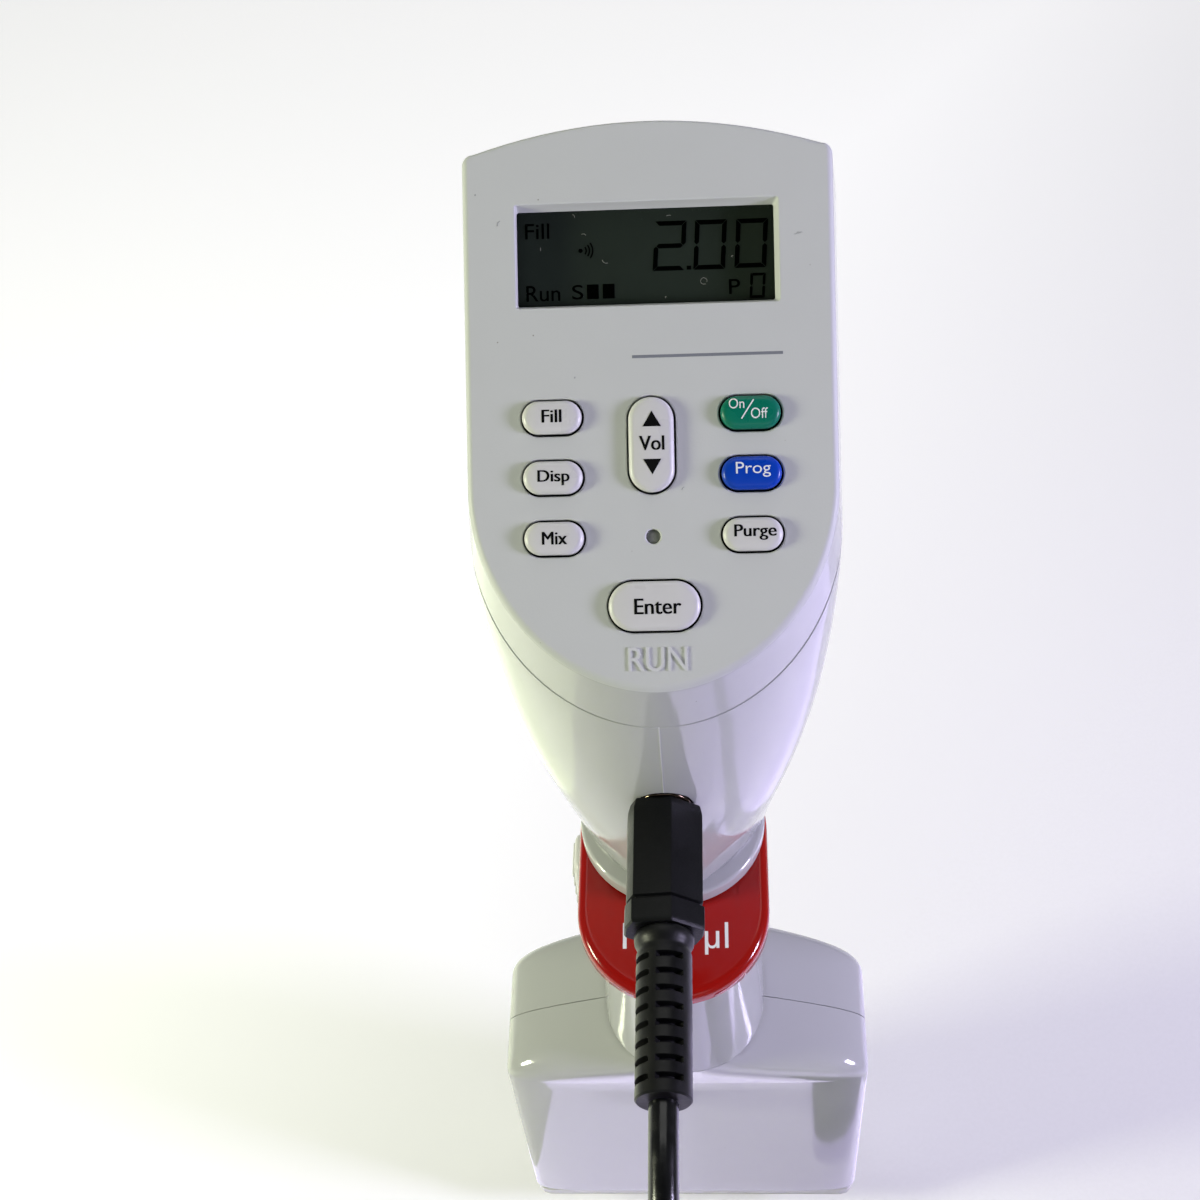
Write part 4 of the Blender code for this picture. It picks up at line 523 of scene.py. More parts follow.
# Head's outline at a depth below the face: its walls run straight down, so they shift along the face
def headRing(depth, inset):
    shift = depth * math.tan(faceTilt)
    half = nosedHalf(head["width"] - 2 * inset, inset - shift, head["length"] - inset - shift,
                     head["nose"] - inset, head["power"], max(head["corner"] - inset, 0.0002), head["crown"],
                     (48, 14, 10, 10))[0]
    outline = wholeRing(half)
    return onFace(outline[:, 0], outline[:, 1], -depth)


# Cover: skirt and wall by rings, flat plates between the outer ring and the openings' own rings
def makeCover():
    edge, wall, skirt, draft, lip = (head[k] for k in ("edge", "wall", "skirt", "draft", "lip"))
    outer = [(0, edge + 0.00006)] + quarterRound(edge, 9).tolist()
    outer += [(share * skirt + (1 - share) * edge, -share * draft) for share in np.linspace(0.04, 0.985, 12)]
    outer += [(skirt, 0.00012 - draft), (skirt, wall - draft), (wall, wall)]
    rings = [[headRing(*pair) for pair in outer]]
    openings = [(window["x"], window["y"], window["width"], window["height"], window["corner"],
                 window["floor"])]
    openings += [(x, y, width + 2 * keyGap, height + 2 * keyGap, width, None)
                 for x, y, width, height in keys.values()]
    openings.append((0, lightY, 2 * lightRadius, 2 * lightRadius, lightRadius, None))
    for x, y, width, height, corner, floor in openings:
        rows = []
        for depth, grow in [(0, lip + 0.00005)] + quarterRound(lip, 5).tolist() + [(wall, 0.0)]:
            if depth == wall and floor:
                x, y, width, height = floor
            outline = stadium(width, height, corner, grow)
            rows.append(onFace(x + outline[:, 0], y + outline[:, 1], -depth))
        rings.append(rows)
    shape = bmesh.new()
    edges = [[], []]
    for number, rows in enumerate(rings):
        verts = [[shape.verts.new(point) for point in row] for row in rows]
        for row, (upper, lower) in enumerate(zip(verts, verts[1:])):
            for i in range(len(upper)):
                j = (i + 1) % len(upper)
                if (upper[i].co - upper[j].co).length > 2e-6 or (lower[i].co - lower[j].co).length > 2e-6:
                    made = shape.faces.new((upper[i], upper[j], lower[j], lower[i]))
                    made.material_index = 1 if number == 0 and row >= head["satinRows"] else 0
        for side, row in ((0, verts[0]), (1, verts[-1])):
            edges[side] += [shape.edges.get((a, b)) or shape.edges.new((a, b))
                            for a, b in zip(row, row[1:] + row[:1])]
    for side in edges:
        bmesh.ops.triangle_fill(shape, use_beauty=True, use_dissolve=False, edges=side)
    bmesh.ops.remove_doubles(shape, verts=shape.verts, dist=2e-6)
    bmesh.ops.recalc_face_normals(shape, faces=shape.faces)
    mesh = bpy.data.meshes.new("keypad_cover_skin")
    shape.to_mesh(mesh)
    shape.free()
    cover = smoothed(mesh, 32)
    addPiece("keypad_cover_skin", cover, "casing", [finish["satinAbs"], finish["glossAbs"]],
             ["keypad_cover"])


makeCover()
print("cover made")

# Keys: an upright side, a round edge and a domed top, on a flange of dark rubber that runs up the side to the
# face as painted shade in the key's gap
keyForm = {"side": 0.00045, "edge": 0.0009, "dome": 0.00028, "flange": 0.0009, "under": -0.0021,
           "foot": -0.0031, "rubber": -0.00015}
keyLooks = {"key_power": ("urethaneGreen", "key_green"), "key_program": ("urethaneBlue", "key_blue")}


# Height above the face at a distance in from the key's outline: side, quarter ellipse and a parabolic dome
def keyHeight(inside, half):
    share = np.clip(inside / half, 0, 1)
    near = np.clip(1 - inside / keyForm["edge"], 0, 1)
    rise = keyForm["edge"] * 0.75 * np.sqrt(1 - near ** 2)
    return keyForm["side"] + rise + keyForm["dome"] * (1 - (1 - share) ** 2)


# The body that carries a key: fill_key carries key_fill
def keyBody(name):
    return name[4:] + "_key"


# Cap by rings of the key's outline, grown or drawn in, each at its height
def makeKey(name):
    x, y, width, height = keys[name]
    half = min(width, height) / 2
    flange = keyForm["flange"] if name != "key_volume" else 0
    insides = np.concatenate([keyForm["edge"] * (1 - np.cos(np.linspace(0, np.pi / 2, 9))),
                              np.linspace(keyForm["edge"] * 1.15, half * 0.985, 9)])
    levels = [(flange, keyForm["foot"]), (flange, keyForm["under"]), (0, keyForm["under"]),
              (0, keyForm["rubber"]), *zip(-insides, keyHeight(insides, half))]
    rings = []
    for grow, z in levels:
        outline = stadium(width, height, width, grow, 14)
        rings.append(onFace(x + outline[:, 0], y + outline[:, 1], z))
    mesh = loft(name + "_cap", rings, 50)
    # The rubber reaches up to the face: black up the key's side, a painted shade in the gap round the key
    for face in mesh.polygons:
        if (np.array(face.center) - faceOrigin) @ faceNormal < keyForm["rubber"]:
            face.material_index = 1
    material, slot = keyLooks.get(name, ("urethaneWhite", "key_white"))
    addPiece(name + "_cap", mesh, keyBody(name), [finish[material], finish["blackRubber"]], [name])


# Mesh's points as rows
def vertexArray(mesh):
    points = np.empty(len(mesh.vertices) * 3)
    mesh.vertices.foreach_get("co", points)
    return points.reshape(-1, 3)


# Text as a thin print on the face's pieces. Cuts every 0.3 mm let it follow a surface, whose height is a
# function of x and y. Bold type is three copies, set side by side
ink = {"thick": 0.00003, "cutEvery": 0.0003, "bold": 0.00007, "proud": 0.00002}


def printedMesh(name, text, box, surface, thickness=ink["thick"], bold=0.0, cuts=True, place=onFace):
    curve = bpy.data.curves.new(name, "FONT")
    curve.body, curve.extrude = text, 0.01
    curve.resolution_u = 6
    holder = bpy.data.objects.new(name, curve)
    bpy.context.collection.objects.link(holder)
    bpy.context.view_layer.update()
    mesh = bpy.data.meshes.new_from_object(holder.evaluated_get(bpy.context.evaluated_depsgraph_get()))
    bpy.data.objects.remove(holder)
    bpy.data.curves.remove(curve)
    points = vertexArray(mesh)
    low, high = points[:, :2].min(0), points[:, :2].max(0)
    left, top, right, bottom = (v * mm for v in box)
    left, right = left + bold, right - bold
    points[:, :2] = (points[:, :2] - low) / (high - low) * [right - left, top - bottom] + [left, bottom]
    mesh.vertices.foreach_set("co", points.ravel())
    if cuts:
        shape = bmesh.new()
        shape.from_mesh(mesh)
        bmesh.ops.triangulate(shape, faces=shape.faces[:])
        for axis, ends in enumerate(((left, right), (bottom, top))):
            normal = [float(axis == 0), float(axis == 1), 0.0]
            for level in np.arange(ends[0] + ink["cutEvery"], ends[1], ink["cutEvery"]):
                everything = shape.verts[:] + shape.edges[:] + shape.faces[:]
                bmesh.ops.bisect_plane(shape, geom=everything, dist=1e-7, plane_no=normal,
                                       plane_co=[level * side for side in normal])
        shape.to_mesh(mesh)
        shape.free()
        points = vertexArray(mesh)
    copies = []
    for shift in (-bold, 0.0, bold) if bold else (0.0,):
        copy = mesh.copy()
        x, y = points[:, 0] + shift, points[:, 1]
        z = surface(x, y) + np.where(points[:, 2] > 0, thickness, -thickness)
        copy.vertices.foreach_set("co", place(x, y, z).ravel())
        copies.append(copy)
    bpy.data.meshes.remove(mesh)
    return together(name, copies)


# Fine line on the face's pieces, through points in millimetres
def lineMesh(name, points, width, surface):
    points = np.array(points, float) * mm
    ahead = np.gradient(points, axis=0)
    side = np.stack([-ahead[:, 1], ahead[:, 0]], -1) / np.hypot(*ahead.T)[:, None] * width * mm / 2
    both = np.stack([points + side, points - side], 1)
    z = surface(both[..., 0], both[..., 1]) + ink["thick"]
    faces = gridFaces(len(points), 2, wrap=False)
    return buildMesh(name, onFace(both[..., 0], both[..., 1], z), faces, False)


# Points of an arc about x and y, from one angle to another in degrees
def arcPoints(x, y, radius, start, end):
    turn = np.radians(np.linspace(start, end, 10))
    return np.column_stack([x + radius * np.cos(turn), y + radius * np.sin(turn)])


# Slab from a flat polygon in millimetres on the face, such as a display's segment or a triangle
def slab(name, corners, top, bottom):
    corners = np.array(corners, float) * mm
    return loft(name, [onFace(corners[:, 0], corners[:, 1], z) for z in (bottom, top)], 30)


# Slab over a box of left, top, right and bottom
def boxSlab(name, box, top, bottom):
    left, upper, right, lower = box
    return slab(name, ((left, lower), (right, lower), (right, upper), (left, upper)), top, bottom)


# Surface of a key's cap, as a function of x and y
def keyTop(name):
    x, y, width, height = keys[name]
    half = min(width, height) / 2

    def surface(px, py):
        dx = np.clip(np.abs(px - x) - (width / 2 - half), 0, None)
        dy = np.clip(np.abs(py - y) - (height / 2 - half), 0, None)
        return keyHeight(half - np.hypot(dx, dy), half)
    return surface


# Flat surface at a height above the face
def flatAt(height):
    return lambda x, y: height + 0 * x


for name in keys:
    makeKey(name)

# Generic function words, each in its box on the face: left, top, right, bottom in millimetres
legends = [
    ("fill_legend", "Fill", (-18.06, 46.74, -14.74, 44.62), "key_fill", "blackInk"),
    ("dispense_legend", "Disp", (-18.93, 36.74, -13.59, 34.17), "key_dispense", "blackInk"),
    ("mix_legend", "Mix", (-18.38, 26.51, -14.18, 24.39), "key_mix", "blackInk"),
    ("volume_legend", "Vol", (-1.98, 41.98, 2.19, 39.61), "key_volume", "blackInk"),
    ("power_on_legend", "On", (12.9, 47.8, 15.45, 46.1), "key_power", "whiteInk"),
    ("power_off_legend", "Off", (16.5, 46.15, 19.3, 44.4), "key_power", "whiteInk"),
    ("program_legend", "Prog", (13.85, 37.29, 19.58, 34.73), "key_program", "whiteInk"),
    ("purge_legend", "Purge", (13.37, 27.03, 20.34, 24.38), "key_purge", "blackInk"),
    ("enter_legend", "Enter", (-3.32, 15.15, 4.47, 12.54), "key_enter", "blackInk"),
]
for name, text, box, key, colour in legends:
    mesh = printedMesh(name, text, box, keyTop(key), bold=ink["bold"] if colour == "blackInk" else 0.0)
    addPiece(name, mesh, keyBody(key), finish[colour])
slash = np.linspace((14.95, 44.4), (17.0, 47.55), 12)
addPiece("power_slash", lineMesh("power_slash", slash, 0.23, keyTop("key_power")), "power_key",
         finish["whiteInk"])
for name, corners in (("volume_up_mark", ((-1.36, 43.53), (1.69, 43.53), (0.16, 46.11))),
                      ("volume_down_mark", ((-1.35, 38.15), (0.14, 35.58), (1.63, 38.15)))):
    top = keyTop("key_volume")(np.array([0.0]), np.array([corners[0][1] * mm]))[0]
    addPiece(name, slab(name, corners, top + ink["proud"], top - 0.0002), "volume_key", finish["blackInk"])
# The raised RUN letters are painted paler than the face: a painted highlight on their edges
word = printedMesh("run_word", "RUN", (-4.52, 7.09, 5.26, 3.1), flatAt(0), 0.00022, cuts=False)
addPiece("run_word", word, "casing", finish["reliefAbs"])
addPiece("face_rule", boxSlab("face_rule", (-2.93, 55.55, 22.01, 55.05), ink["proud"], -ink["proud"]),
         "casing", finish["greyInk"])
print("keys and legends made")

# Display: module, its dark marks and the clear plate over it. Heights are in metres below the face, and
# marks in millimetres on it, in boxes of left, top, right and bottom
display = {
    "back": -0.0067, "top": -0.0035, "plate": (-0.0032, -0.0021), "round": 0.002,
    "digits": (("2", (0.68, 78.4, 6.5, 70.09), 0.75), ("0", (7.47, 78.39, 13.25, 70.09), 0.75),
               ("0", (14.33, 78.37, 20.1, 70.17), 0.75), ("0", (16.75, 69.22, 19.5, 65.06), 0.42)),
    "bars": ((6.4, 70.79, 7.09, 70.15), (-10.43, 68.16, -8.49, 65.72), (-7.78, 68.17, -5.81, 65.73)),
    "sound": (-11.4, 73.9), "dot": 0.35, "waves": (0.95, 1.5, 2.05), "waveHalf": 0.11,
    "words": (("Fill", (-20.69, 78.69, -16.63, 76.13)), ("Run", (-20.67, 68.22, -14.97, 65.57)),
              ("S", (-12.94, 68.15, -11.09, 65.72)), ("P", (13.38, 68.32, 15.2, 65.85))),
}
markLevels = display["top"] + 0.00006, display["top"] - 0.00002
# Fibres and grains of dust: x, y, radius and two angles of each arc
dustArcs = {
    "display_dust": ((-19.2, 74.1, 1.2, -14, 14), (-10.8, 76.0, 0.45, 20, 130), (-7.0, 72.1, 0.7, 190, 290),
                     (9.2, 67.9, 0.55, -20, 300), (3.6, 78.5, 0.6, 60, 130), (2.8, 65.4, 0.12, 0, 300),
                     (-12.7, 79.3, 0.5, -10, 70), (14.0, 71.9, 0.12, 0, 300)),
    "face_dust": ((-28.6, 83.1, 0.1, 0, 320), (-24.4, 78.0, 0.6, 100, 200), (24.4, 75.3, 0.5, 250, 350),
                  (25.4, 74.6, 0.5, 70, 150), (-12.5, 52.1, 0.1, 0, 320), (5.4, 33.0, 0.5, 100, 180)),
}


# Corners of a seven-segment digit's strokes, each a bar with pointed ends, inside a box that leans right
def digitSlabs(name, digit, box, stroke, lean=0.06):
    left, top, right, bottom = box
    width, height = right - left, top - bottom
    lean *= height
    width -= lean
    a, b, c, d, e = 0.0, stroke, width - stroke, width, stroke * 0.12
    middle = height / 2
    s, h = stroke / 2, height
    bars = {
        "a": [(a + e, h), (d - e, h), (c - e, h - b), (b + e, h - b)],
        "g": [(e + s, middle), (b + e, middle + s), (c - e, middle + s), (d - s - e, middle),
              (c - e, middle - s), (b + e, middle - s)],
        "d": [(b + e, b), (c - e, b), (d - e, 0), (a + e, 0)],
        "f": [(0, h - e), (b, h - b - e), (b, middle + s + e), (s, middle + e), (0, middle + s + e)],
        "b": [(d, h - e), (d, middle + s + e), (d - s, middle + e), (c, middle + s + e), (c, h - b - e)],
        "e": [(0, e), (0, middle - s - e), (s, middle - e), (b, middle - s - e), (b, b + e)],
        "c": [(d, e), (c, b + e), (c, middle - s - e), (d - s, middle - e), (d, middle - s - e)],
    }
    lit = {"0": "abcdef", "2": "abged"}[digit]
    return [slab(name, [(left + x + lean * y / h, bottom + y) for x, y in bars[one]], *markLevels)
            for one in lit]


# Plate behind the window, wider than it by the margins, between two heights
def windowSlab(name, wider, higher, levels):
    outline = stadium(window["width"] + wider, window["height"] + higher, display["round"])
    return loft(name, [onFace(outline[:, 0], window["y"] + outline[:, 1], z) for z in levels], 30)


def makeDisplay():
    addPiece("display_cell", windowSlab("display_cell", 0.0048, 0.004, (display["back"], display["top"])),
             "casing", finish["displayCell"], ["display_module"])
    marks = []
    for digit, box, stroke in display["digits"]:
        marks += digitSlabs("mark", digit, box, stroke)
    marks += [boxSlab("mark", box, *markLevels) for box in display["bars"]]
    # Sound sign: a dot and three waves
    middle = np.array(display["sound"])
    turn = np.linspace(0, 2 * np.pi, 16, endpoint=False)
    marks.append(slab("mark", middle + display["dot"] * np.column_stack([np.cos(turn), np.sin(turn)]),
                      *markLevels))
    turn = np.radians(np.linspace(-38, 38, 12))
    arc, half = np.column_stack([np.cos(turn), np.sin(turn)]), display["waveHalf"]
    for radius in display["waves"]:
        wave = np.vstack([middle + (radius + half) * arc, middle + (radius - half) * arc[::-1]])
        marks.append(slab("mark", wave, *markLevels))
    marks += [printedMesh("mark", text, box, flatAt(display["top"]), 0.00006, cuts=False)
              for text, box in display["words"]]
    addPiece("display_marks", together("display_marks", marks, 30), "casing", finish["displayDye"])
    addPiece("window_plate", windowSlab("window_plate", 0.004, 0.004, display["plate"]), "casing",
             finish["clearAcrylic"], ["display_window"])
    for name, width, height, colour in (("display_dust", 0.045, display["plate"][1], "dust"),
                                        ("face_dust", 0.07, 0, "greyInk")):
        fibres = [lineMesh("fibre", arcPoints(*arc), width, flatAt(height)) for arc in dustArcs[name]]
        addPiece(name, together(name, fibres), "casing", finish[colour])


makeDisplay()


# Status light: the low dome of its guide, a little under the face
def makeLight():
    radius = lightRadius - 0.00006
    turn = np.linspace(0, np.pi / 2, 8)
    dome = [(radius * math.sin(t), -0.0004 - radius * 0.3 * (1 - math.cos(t))) for t in turn]
    mesh = lathe("status_guide", dome + [(radius, -0.0067), (0, -0.0067)], onFace(0, lightY, 0), faceNormal,
                 (1, 0, 0), 40)
    addPiece("status_guide", mesh, "casing", finish["lightGuide"], ["status_light"])


makeLight()
print("display and light made")

# Body shells: sections turn from the seam's slope to level at the collar, then neck and grip
shell = {"wall": 0.002, "drop": 0.026, "endZ": 0.0095, "endWidth": 0.0378, "endFront": -0.0187,
         "endBack": 0.019, "endPower": 1.3, "bulge": 0.0012, "run": 0.2, "neck": 0.0155, "gripTop": 0.0,
         "gripLength": 0.074, "gripRound": 0.0022, "roundDepth": 0.005}
faceNear = (-0.0195, 0.084)


# Handle y and z of a point on the face's middle line, at a depth
def onHandle(y, depth):
    return np.array([faceNear[0] + y * math.cos(faceTilt) + depth * math.sin(faceTilt),
                     faceNear[1] + y * math.sin(faceTilt) - depth * math.cos(faceTilt)])


# The far wall goes straight down from the seam, then by a cubic curve under the head into the grip
def farWall(share):
    below = head["skirt"] + gap
    top = onHandle(head["length"] + head["draft"] - below * math.tan(faceTilt), below)[:, None]
    t = np.clip((share - shell["run"]) / (1 - shell["run"]), 0, 1)
    low = top - [[0], [shell["drop"]]]
    curve = ((1 - t) ** 3 * low + 3 * t * (1 - t) ** 2 * (low - [[0], [0.025]])
             + 3 * t * t * (1 - t) * [[0.023], [0.052]] + t ** 3 * [[shell["endBack"]], [shell["endZ"]]])
    return np.where(share <= shell["run"], top - [[0], [1]] * (shell["drop"] * share / shell["run"]), curve)


# The near wall runs straight from the seam to the collar, with a shallow parabolic bulge
def nearWall(share):
    below = head["skirt"] + gap
    top = onHandle(-head["draft"] - below * math.tan(faceTilt), below)
    return np.stack([blend(top[0], shell["endFront"], share) - 4 * share * (1 - share) * shell["bulge"],
                     blend(top[1], shell["endZ"], share)])


# The far wall's y at a height
def farWallAt(z):
    share = np.linspace(0, 1, 4001)
    line = farWall(share)
    return np.interp(-np.asarray(z, float), -line[1], line[0])


# The parting edge of a half: its first and last points rise to a fine flash line that stays on moulded shells
def parted(half):
    def turned(end, inward):
        return np.concatenate([end + np.array([[x * mm, inward * y * mm]]) for x, y in
                               ((0.012, -0.02), (0.07, -0.025), (0.11, 0.0))], -2)
    return np.concatenate([turned(half[:, :1], 1), half[:, 1:-1], turned(half[:, -1:], -1)[:, ::-1]], 1)


# Half sections of the whole form at an inset, as rows of world points from the seam to the grip's end
def formRows(inset):
    shares = np.concatenate([np.linspace(0, 0.985, 46), [0.995, 1.0]])
    insets = np.concatenate([[inset + 0.0001], np.full(45, inset), [inset + 0.00005, inset + 0.00025]])
    near, far = nearWall(shares), farWall(shares)
    length = np.hypot(*(far - near))
    along = (far - near) / length
    corner = np.maximum(blend(head["corner"], 0.45 * shell["endWidth"], shares ** 1.2) - insets, 0.0002)
    half = nosedHalf(blend(head["width"] + 2 * head["draft"], shell["endWidth"], shares ** 1.8) - 2 * insets,
                     insets, length - insets, blend(head["nose"], shell["endWidth"] / 2, shares) - insets,
                     blend(head["power"], shell["endPower"], shares ** 2), corner,
                     blend(head["crown"], 0.05 * shell["endWidth"], shares))
    half = parted(half)
    lift = np.where(shares > 0.99, inset, 0)[:, None]
    body = np.stack([half[..., 0], near[0][:, None] + half[..., 1] * along[0][:, None],
                     near[1][:, None] + half[..., 1] * along[1][:, None] + lift], -1)
    count = half.shape[1] - 4
    turn = np.linspace(0, np.pi, count)
    low = shell["gripTop"] - inset
    neckZ = np.array([shell["endZ"] + inset, low])
    circle = np.stack([np.sin(turn), -np.cos(turn)], -1)[None] * (shell["neck"] - inset)
    circle = parted(np.repeat(circle, 2, 0))
    neck = np.concatenate([circle, np.broadcast_to(neckZ[:, None, None], circle.shape[:2] + (1,))], -1)
    turn = np.linspace(0, np.pi / 2, 9)
    z = np.concatenate([blend(low, -shell["roundDepth"], 1 - np.cos(turn)),
                        np.linspace(-shell["roundDepth"] - 0.003, -shell["gripLength"], 24)])
    cut = inset + np.concatenate([shell["gripRound"] * (1 - np.sin(turn)), np.zeros(24)])
    grip = parted(gripHalf(z, cut))
    grip = np.concatenate([grip, np.broadcast_to(z[:, None, None], grip.shape[:2] + (1,))], -1)
    rows = np.concatenate([body, neck, grip])
    return rows + [0, handleY, 0]


# The grip's half sections: rounded rectangles with a waist, drawn in by the cuts
def gripHalf(z, cut):
    share = np.clip(-z / shell["gripLength"], 0, 1)
    width = shell["endWidth"] - 0.0026 * np.sin(np.pi * share)
    return nosedHalf(width - 2 * cut, -0.020 + cut, 0.0208 - cut, 0.0204 - cut, 2.2, 0.015 - cut, 0.0015)


# One half as a closed wall: outer points near to far, inner points back, strips across its two ends
def wallHalf(name, outer, inner, side):
    rows = np.concatenate([outer, inner[:, ::-1]], 1) * [side, 1, 1]
    count, n = len(rows), outer.shape[1]
    faces = gridFaces(count, 2 * n).tolist()
    for start in (0, (count - 1) * 2 * n):
        faces += [[start + i, start + i + 1, start + 2 * n - 2 - i, start + 2 * n - 1 - i]
                  for i in range(n - 1)]
    return buildMesh(name, rows, faces)


trigger = {"width": 0.014, "top": 0.060, "bottom": 0.030, "proud": 0.0032, "backing": 0.0012, "tab": 0.005,
           "lip": 0.12, "behind": 0.0029, "edge": 0.0012, "crown": 0.00035, "ribDepth": 0.00022,
           "ribRows": (14, 46), "ribEvery": 8}


# The trigger's proud line from its lower end to its upper one, as handle y and z: a flattened sine wave
def triggerLine(grow, steps=40):
    share = np.linspace(0, 1, steps)
    z = blend(trigger["bottom"] - grow, trigger["top"] + grow, share)
    proud = trigger["proud"] * np.sin(np.pi * blend(trigger["lip"], 1 - trigger["lip"], share)) ** 0.6
    return np.column_stack([farWallAt(z) + proud, z])


jack = {"z": 0.0478, "wall": -0.0205, "ring": 0.0050, "bore": 0.0036, "proud": 0.0004}
button = {"pad": (0.0024, 0.011, 0.020), "z": -0.020, "y": 0.003, "stem": (0.005, 0.007), "stemZ": -0.0205,
          "stroke": 0.009, "slide": 0.0004}


# What the shells leave open: the socket's bore, the trigger's slot and, on the left, the button's slot
def shellTools(side):
    reach = jack["ring"] + gap
    socket = lathe("jack_tool", [(0, 0.02), (reach, 0.02), (reach, -0.01), (0, -0.01)],
                   (0, jack["wall"] + handleY, jack["z"]), (0, -1, 0), (1, 0, 0), 96)
    line = triggerLine(0.0006)
    outline = np.vstack([line + [0.02, 0], (line - [0.005, 0])[::-1]])
    half = trigger["width"] / 2 + 0.0004
    rings = [np.column_stack([np.full(len(outline), x), outline[:, 0] + handleY, outline[:, 1]])
             for x in (-half, half)]
    tools = [socket, loft("trigger_tool", rings)]
    if side < 0:
        stemY, stemZ = button["stem"]
        room = button["slide"]
        tools.append(blockMesh("slot_tool", (-0.04, button["y"] - stemY / 2 - room + handleY,
                                             button["stemZ"] - stemZ / 2 - button["stroke"] - room),
                               (-0.01, button["y"] + stemY / 2 + room + handleY,
                                button["stemZ"] + stemZ / 2 + room)))
    return tools


outerRows, innerRows = formRows(0.0), formRows(shell["wall"])
for side, word in ((-1, "left"), (1, "right")):
    name = word + "_shell_skin"
    half = carve(wallHalf(name, outerRows, innerRows, side), shellTools(side))
    # The parting edge takes the smoother relief finish, painted pale as a painted highlight along the flash
    # line
    for face in half.polygons:
        if max(abs(half.vertices[i].co.x) for i in face.vertices) < 0.00012:
            face.material_index = 1
    addPiece(name, half, "casing", [finish["glossAbs"], finish["reliefAbs"]],
             [word + "_body_shell"])
print("body shells made")


# White collar, its upper edge rounded, and the red hook with a soft rim round its flat top
collar = {"low": 0.0059, "high": 0.0094, "bore": 0.01555, "outer": 0.0187, "edge": 0.0008, "chamfer": 0.0003}
hook = {"radius": 0.0192, "reach": 0.0375, "thick": 0.0056, "slope": 0.35, "edge": 0.002, "relief": 0.0208,
        "foot": ((0.0, 0.0009), (0.0002, 0.0004), (0.0009, 0.0)), "print": (-9.9, 6.1, 10.9, -0.6)}


# Quarter round of a ring's profile, from its top out to its side
def ringEdge(outer, high, edge, steps):
    return [(outer - edge + edge * math.sin(t), high - edge + edge * math.cos(t))
            for t in np.linspace(0, np.pi / 2, steps)]


def makeCollar():
    low, high, bore, outer, edge, chamfer = collar.values()
    profile = ringEdge(outer, high, edge, 7)
    profile += [(outer, low + chamfer), (outer - chamfer, low), (bore, low), (bore, high)]
    addPiece("collar_ring", lathe("collar_ring", profile, (0, handleY, 0), steps=128, ring=True), "casing",
             finish["glossAbs"], ["collar"])


# The hook's levels are stadiums, drawn in at the rims; beyond the collar the hook thins along its reach
def makeHook():
    radius, reach, thick, slope, edge = (hook[k] for k in ("radius", "reach", "thick", "slope", "edge"))
    levels = list(hook["foot"])
    levels += [(thick - edge + edge * math.sin(t), edge * (1 - math.cos(t)))
               for t in np.linspace(0, np.pi / 2, 11)]
    levels += [(thick, 0.0024), (thick, 0.006)]
    rings = []
    for z, inset in levels:
        outline = stadium(2 * radius, reach + radius, radius, -inset, 40)
        y = outline[:, 1] - (reach - radius) / 2
        beyond = np.clip(-y - radius, 0, None)
        rings.append(np.column_stack([outline[:, 0], y + handleY,
                                      z * (1 - slope * beyond / (reach - radius))]))
    tools = [lathe(name, [(0, top), (wide, top), (wide, -0.02), (0, -0.02)], (0, handleY, 0), steps=128)
             for name, wide, top in (("bore_tool", collar["bore"], 0.02),
                                     ("relief_tool", hook["relief"], gap))]
    addPiece("finger_rest", carve(loft("finger_rest", rings, 40), tools, angle=40), "casing",
             finish["redPolycarbonate"], ["finger_hook"])
    # The hook's printed volume: a plain number and unit, mostly behind the plug
    fall = thick * slope / (reach - radius)
    mesh = printedMesh("volume_print", "1250 \u00b5l", hook["print"],
                       lambda x, y: thick - fall * np.clip(handleY - radius - y, 0, None), cuts=False,
                       place=lambda x, y, z: np.stack([x, y, z], -1))
    addPiece("volume_print", mesh, "casing", finish["whiteInk"])


makeCollar()
makeHook()

# Charging socket's dark metal ring, the plug's six-sided body and the lead's slotted sleeve
plug = {"length": 0.0247, "half": 0.0069, "shoulder": 0.0030, "ridge": 0.0055, "groove": 0.0198,
        "grooveHalf": 0.0004, "grooveDepth": 0.0006, "roll": math.radians(15), "corner": 0.00018}
sleeve = {"length": 0.0299, "barrel": 0.0048, "neck": 0.0034, "flare": 0.0052, "rows": 8,
          "headLength": 0.0041, "tail": 0.0012, "webs": ((24, 21), (113, 8), (204, 21), (293, 8))}


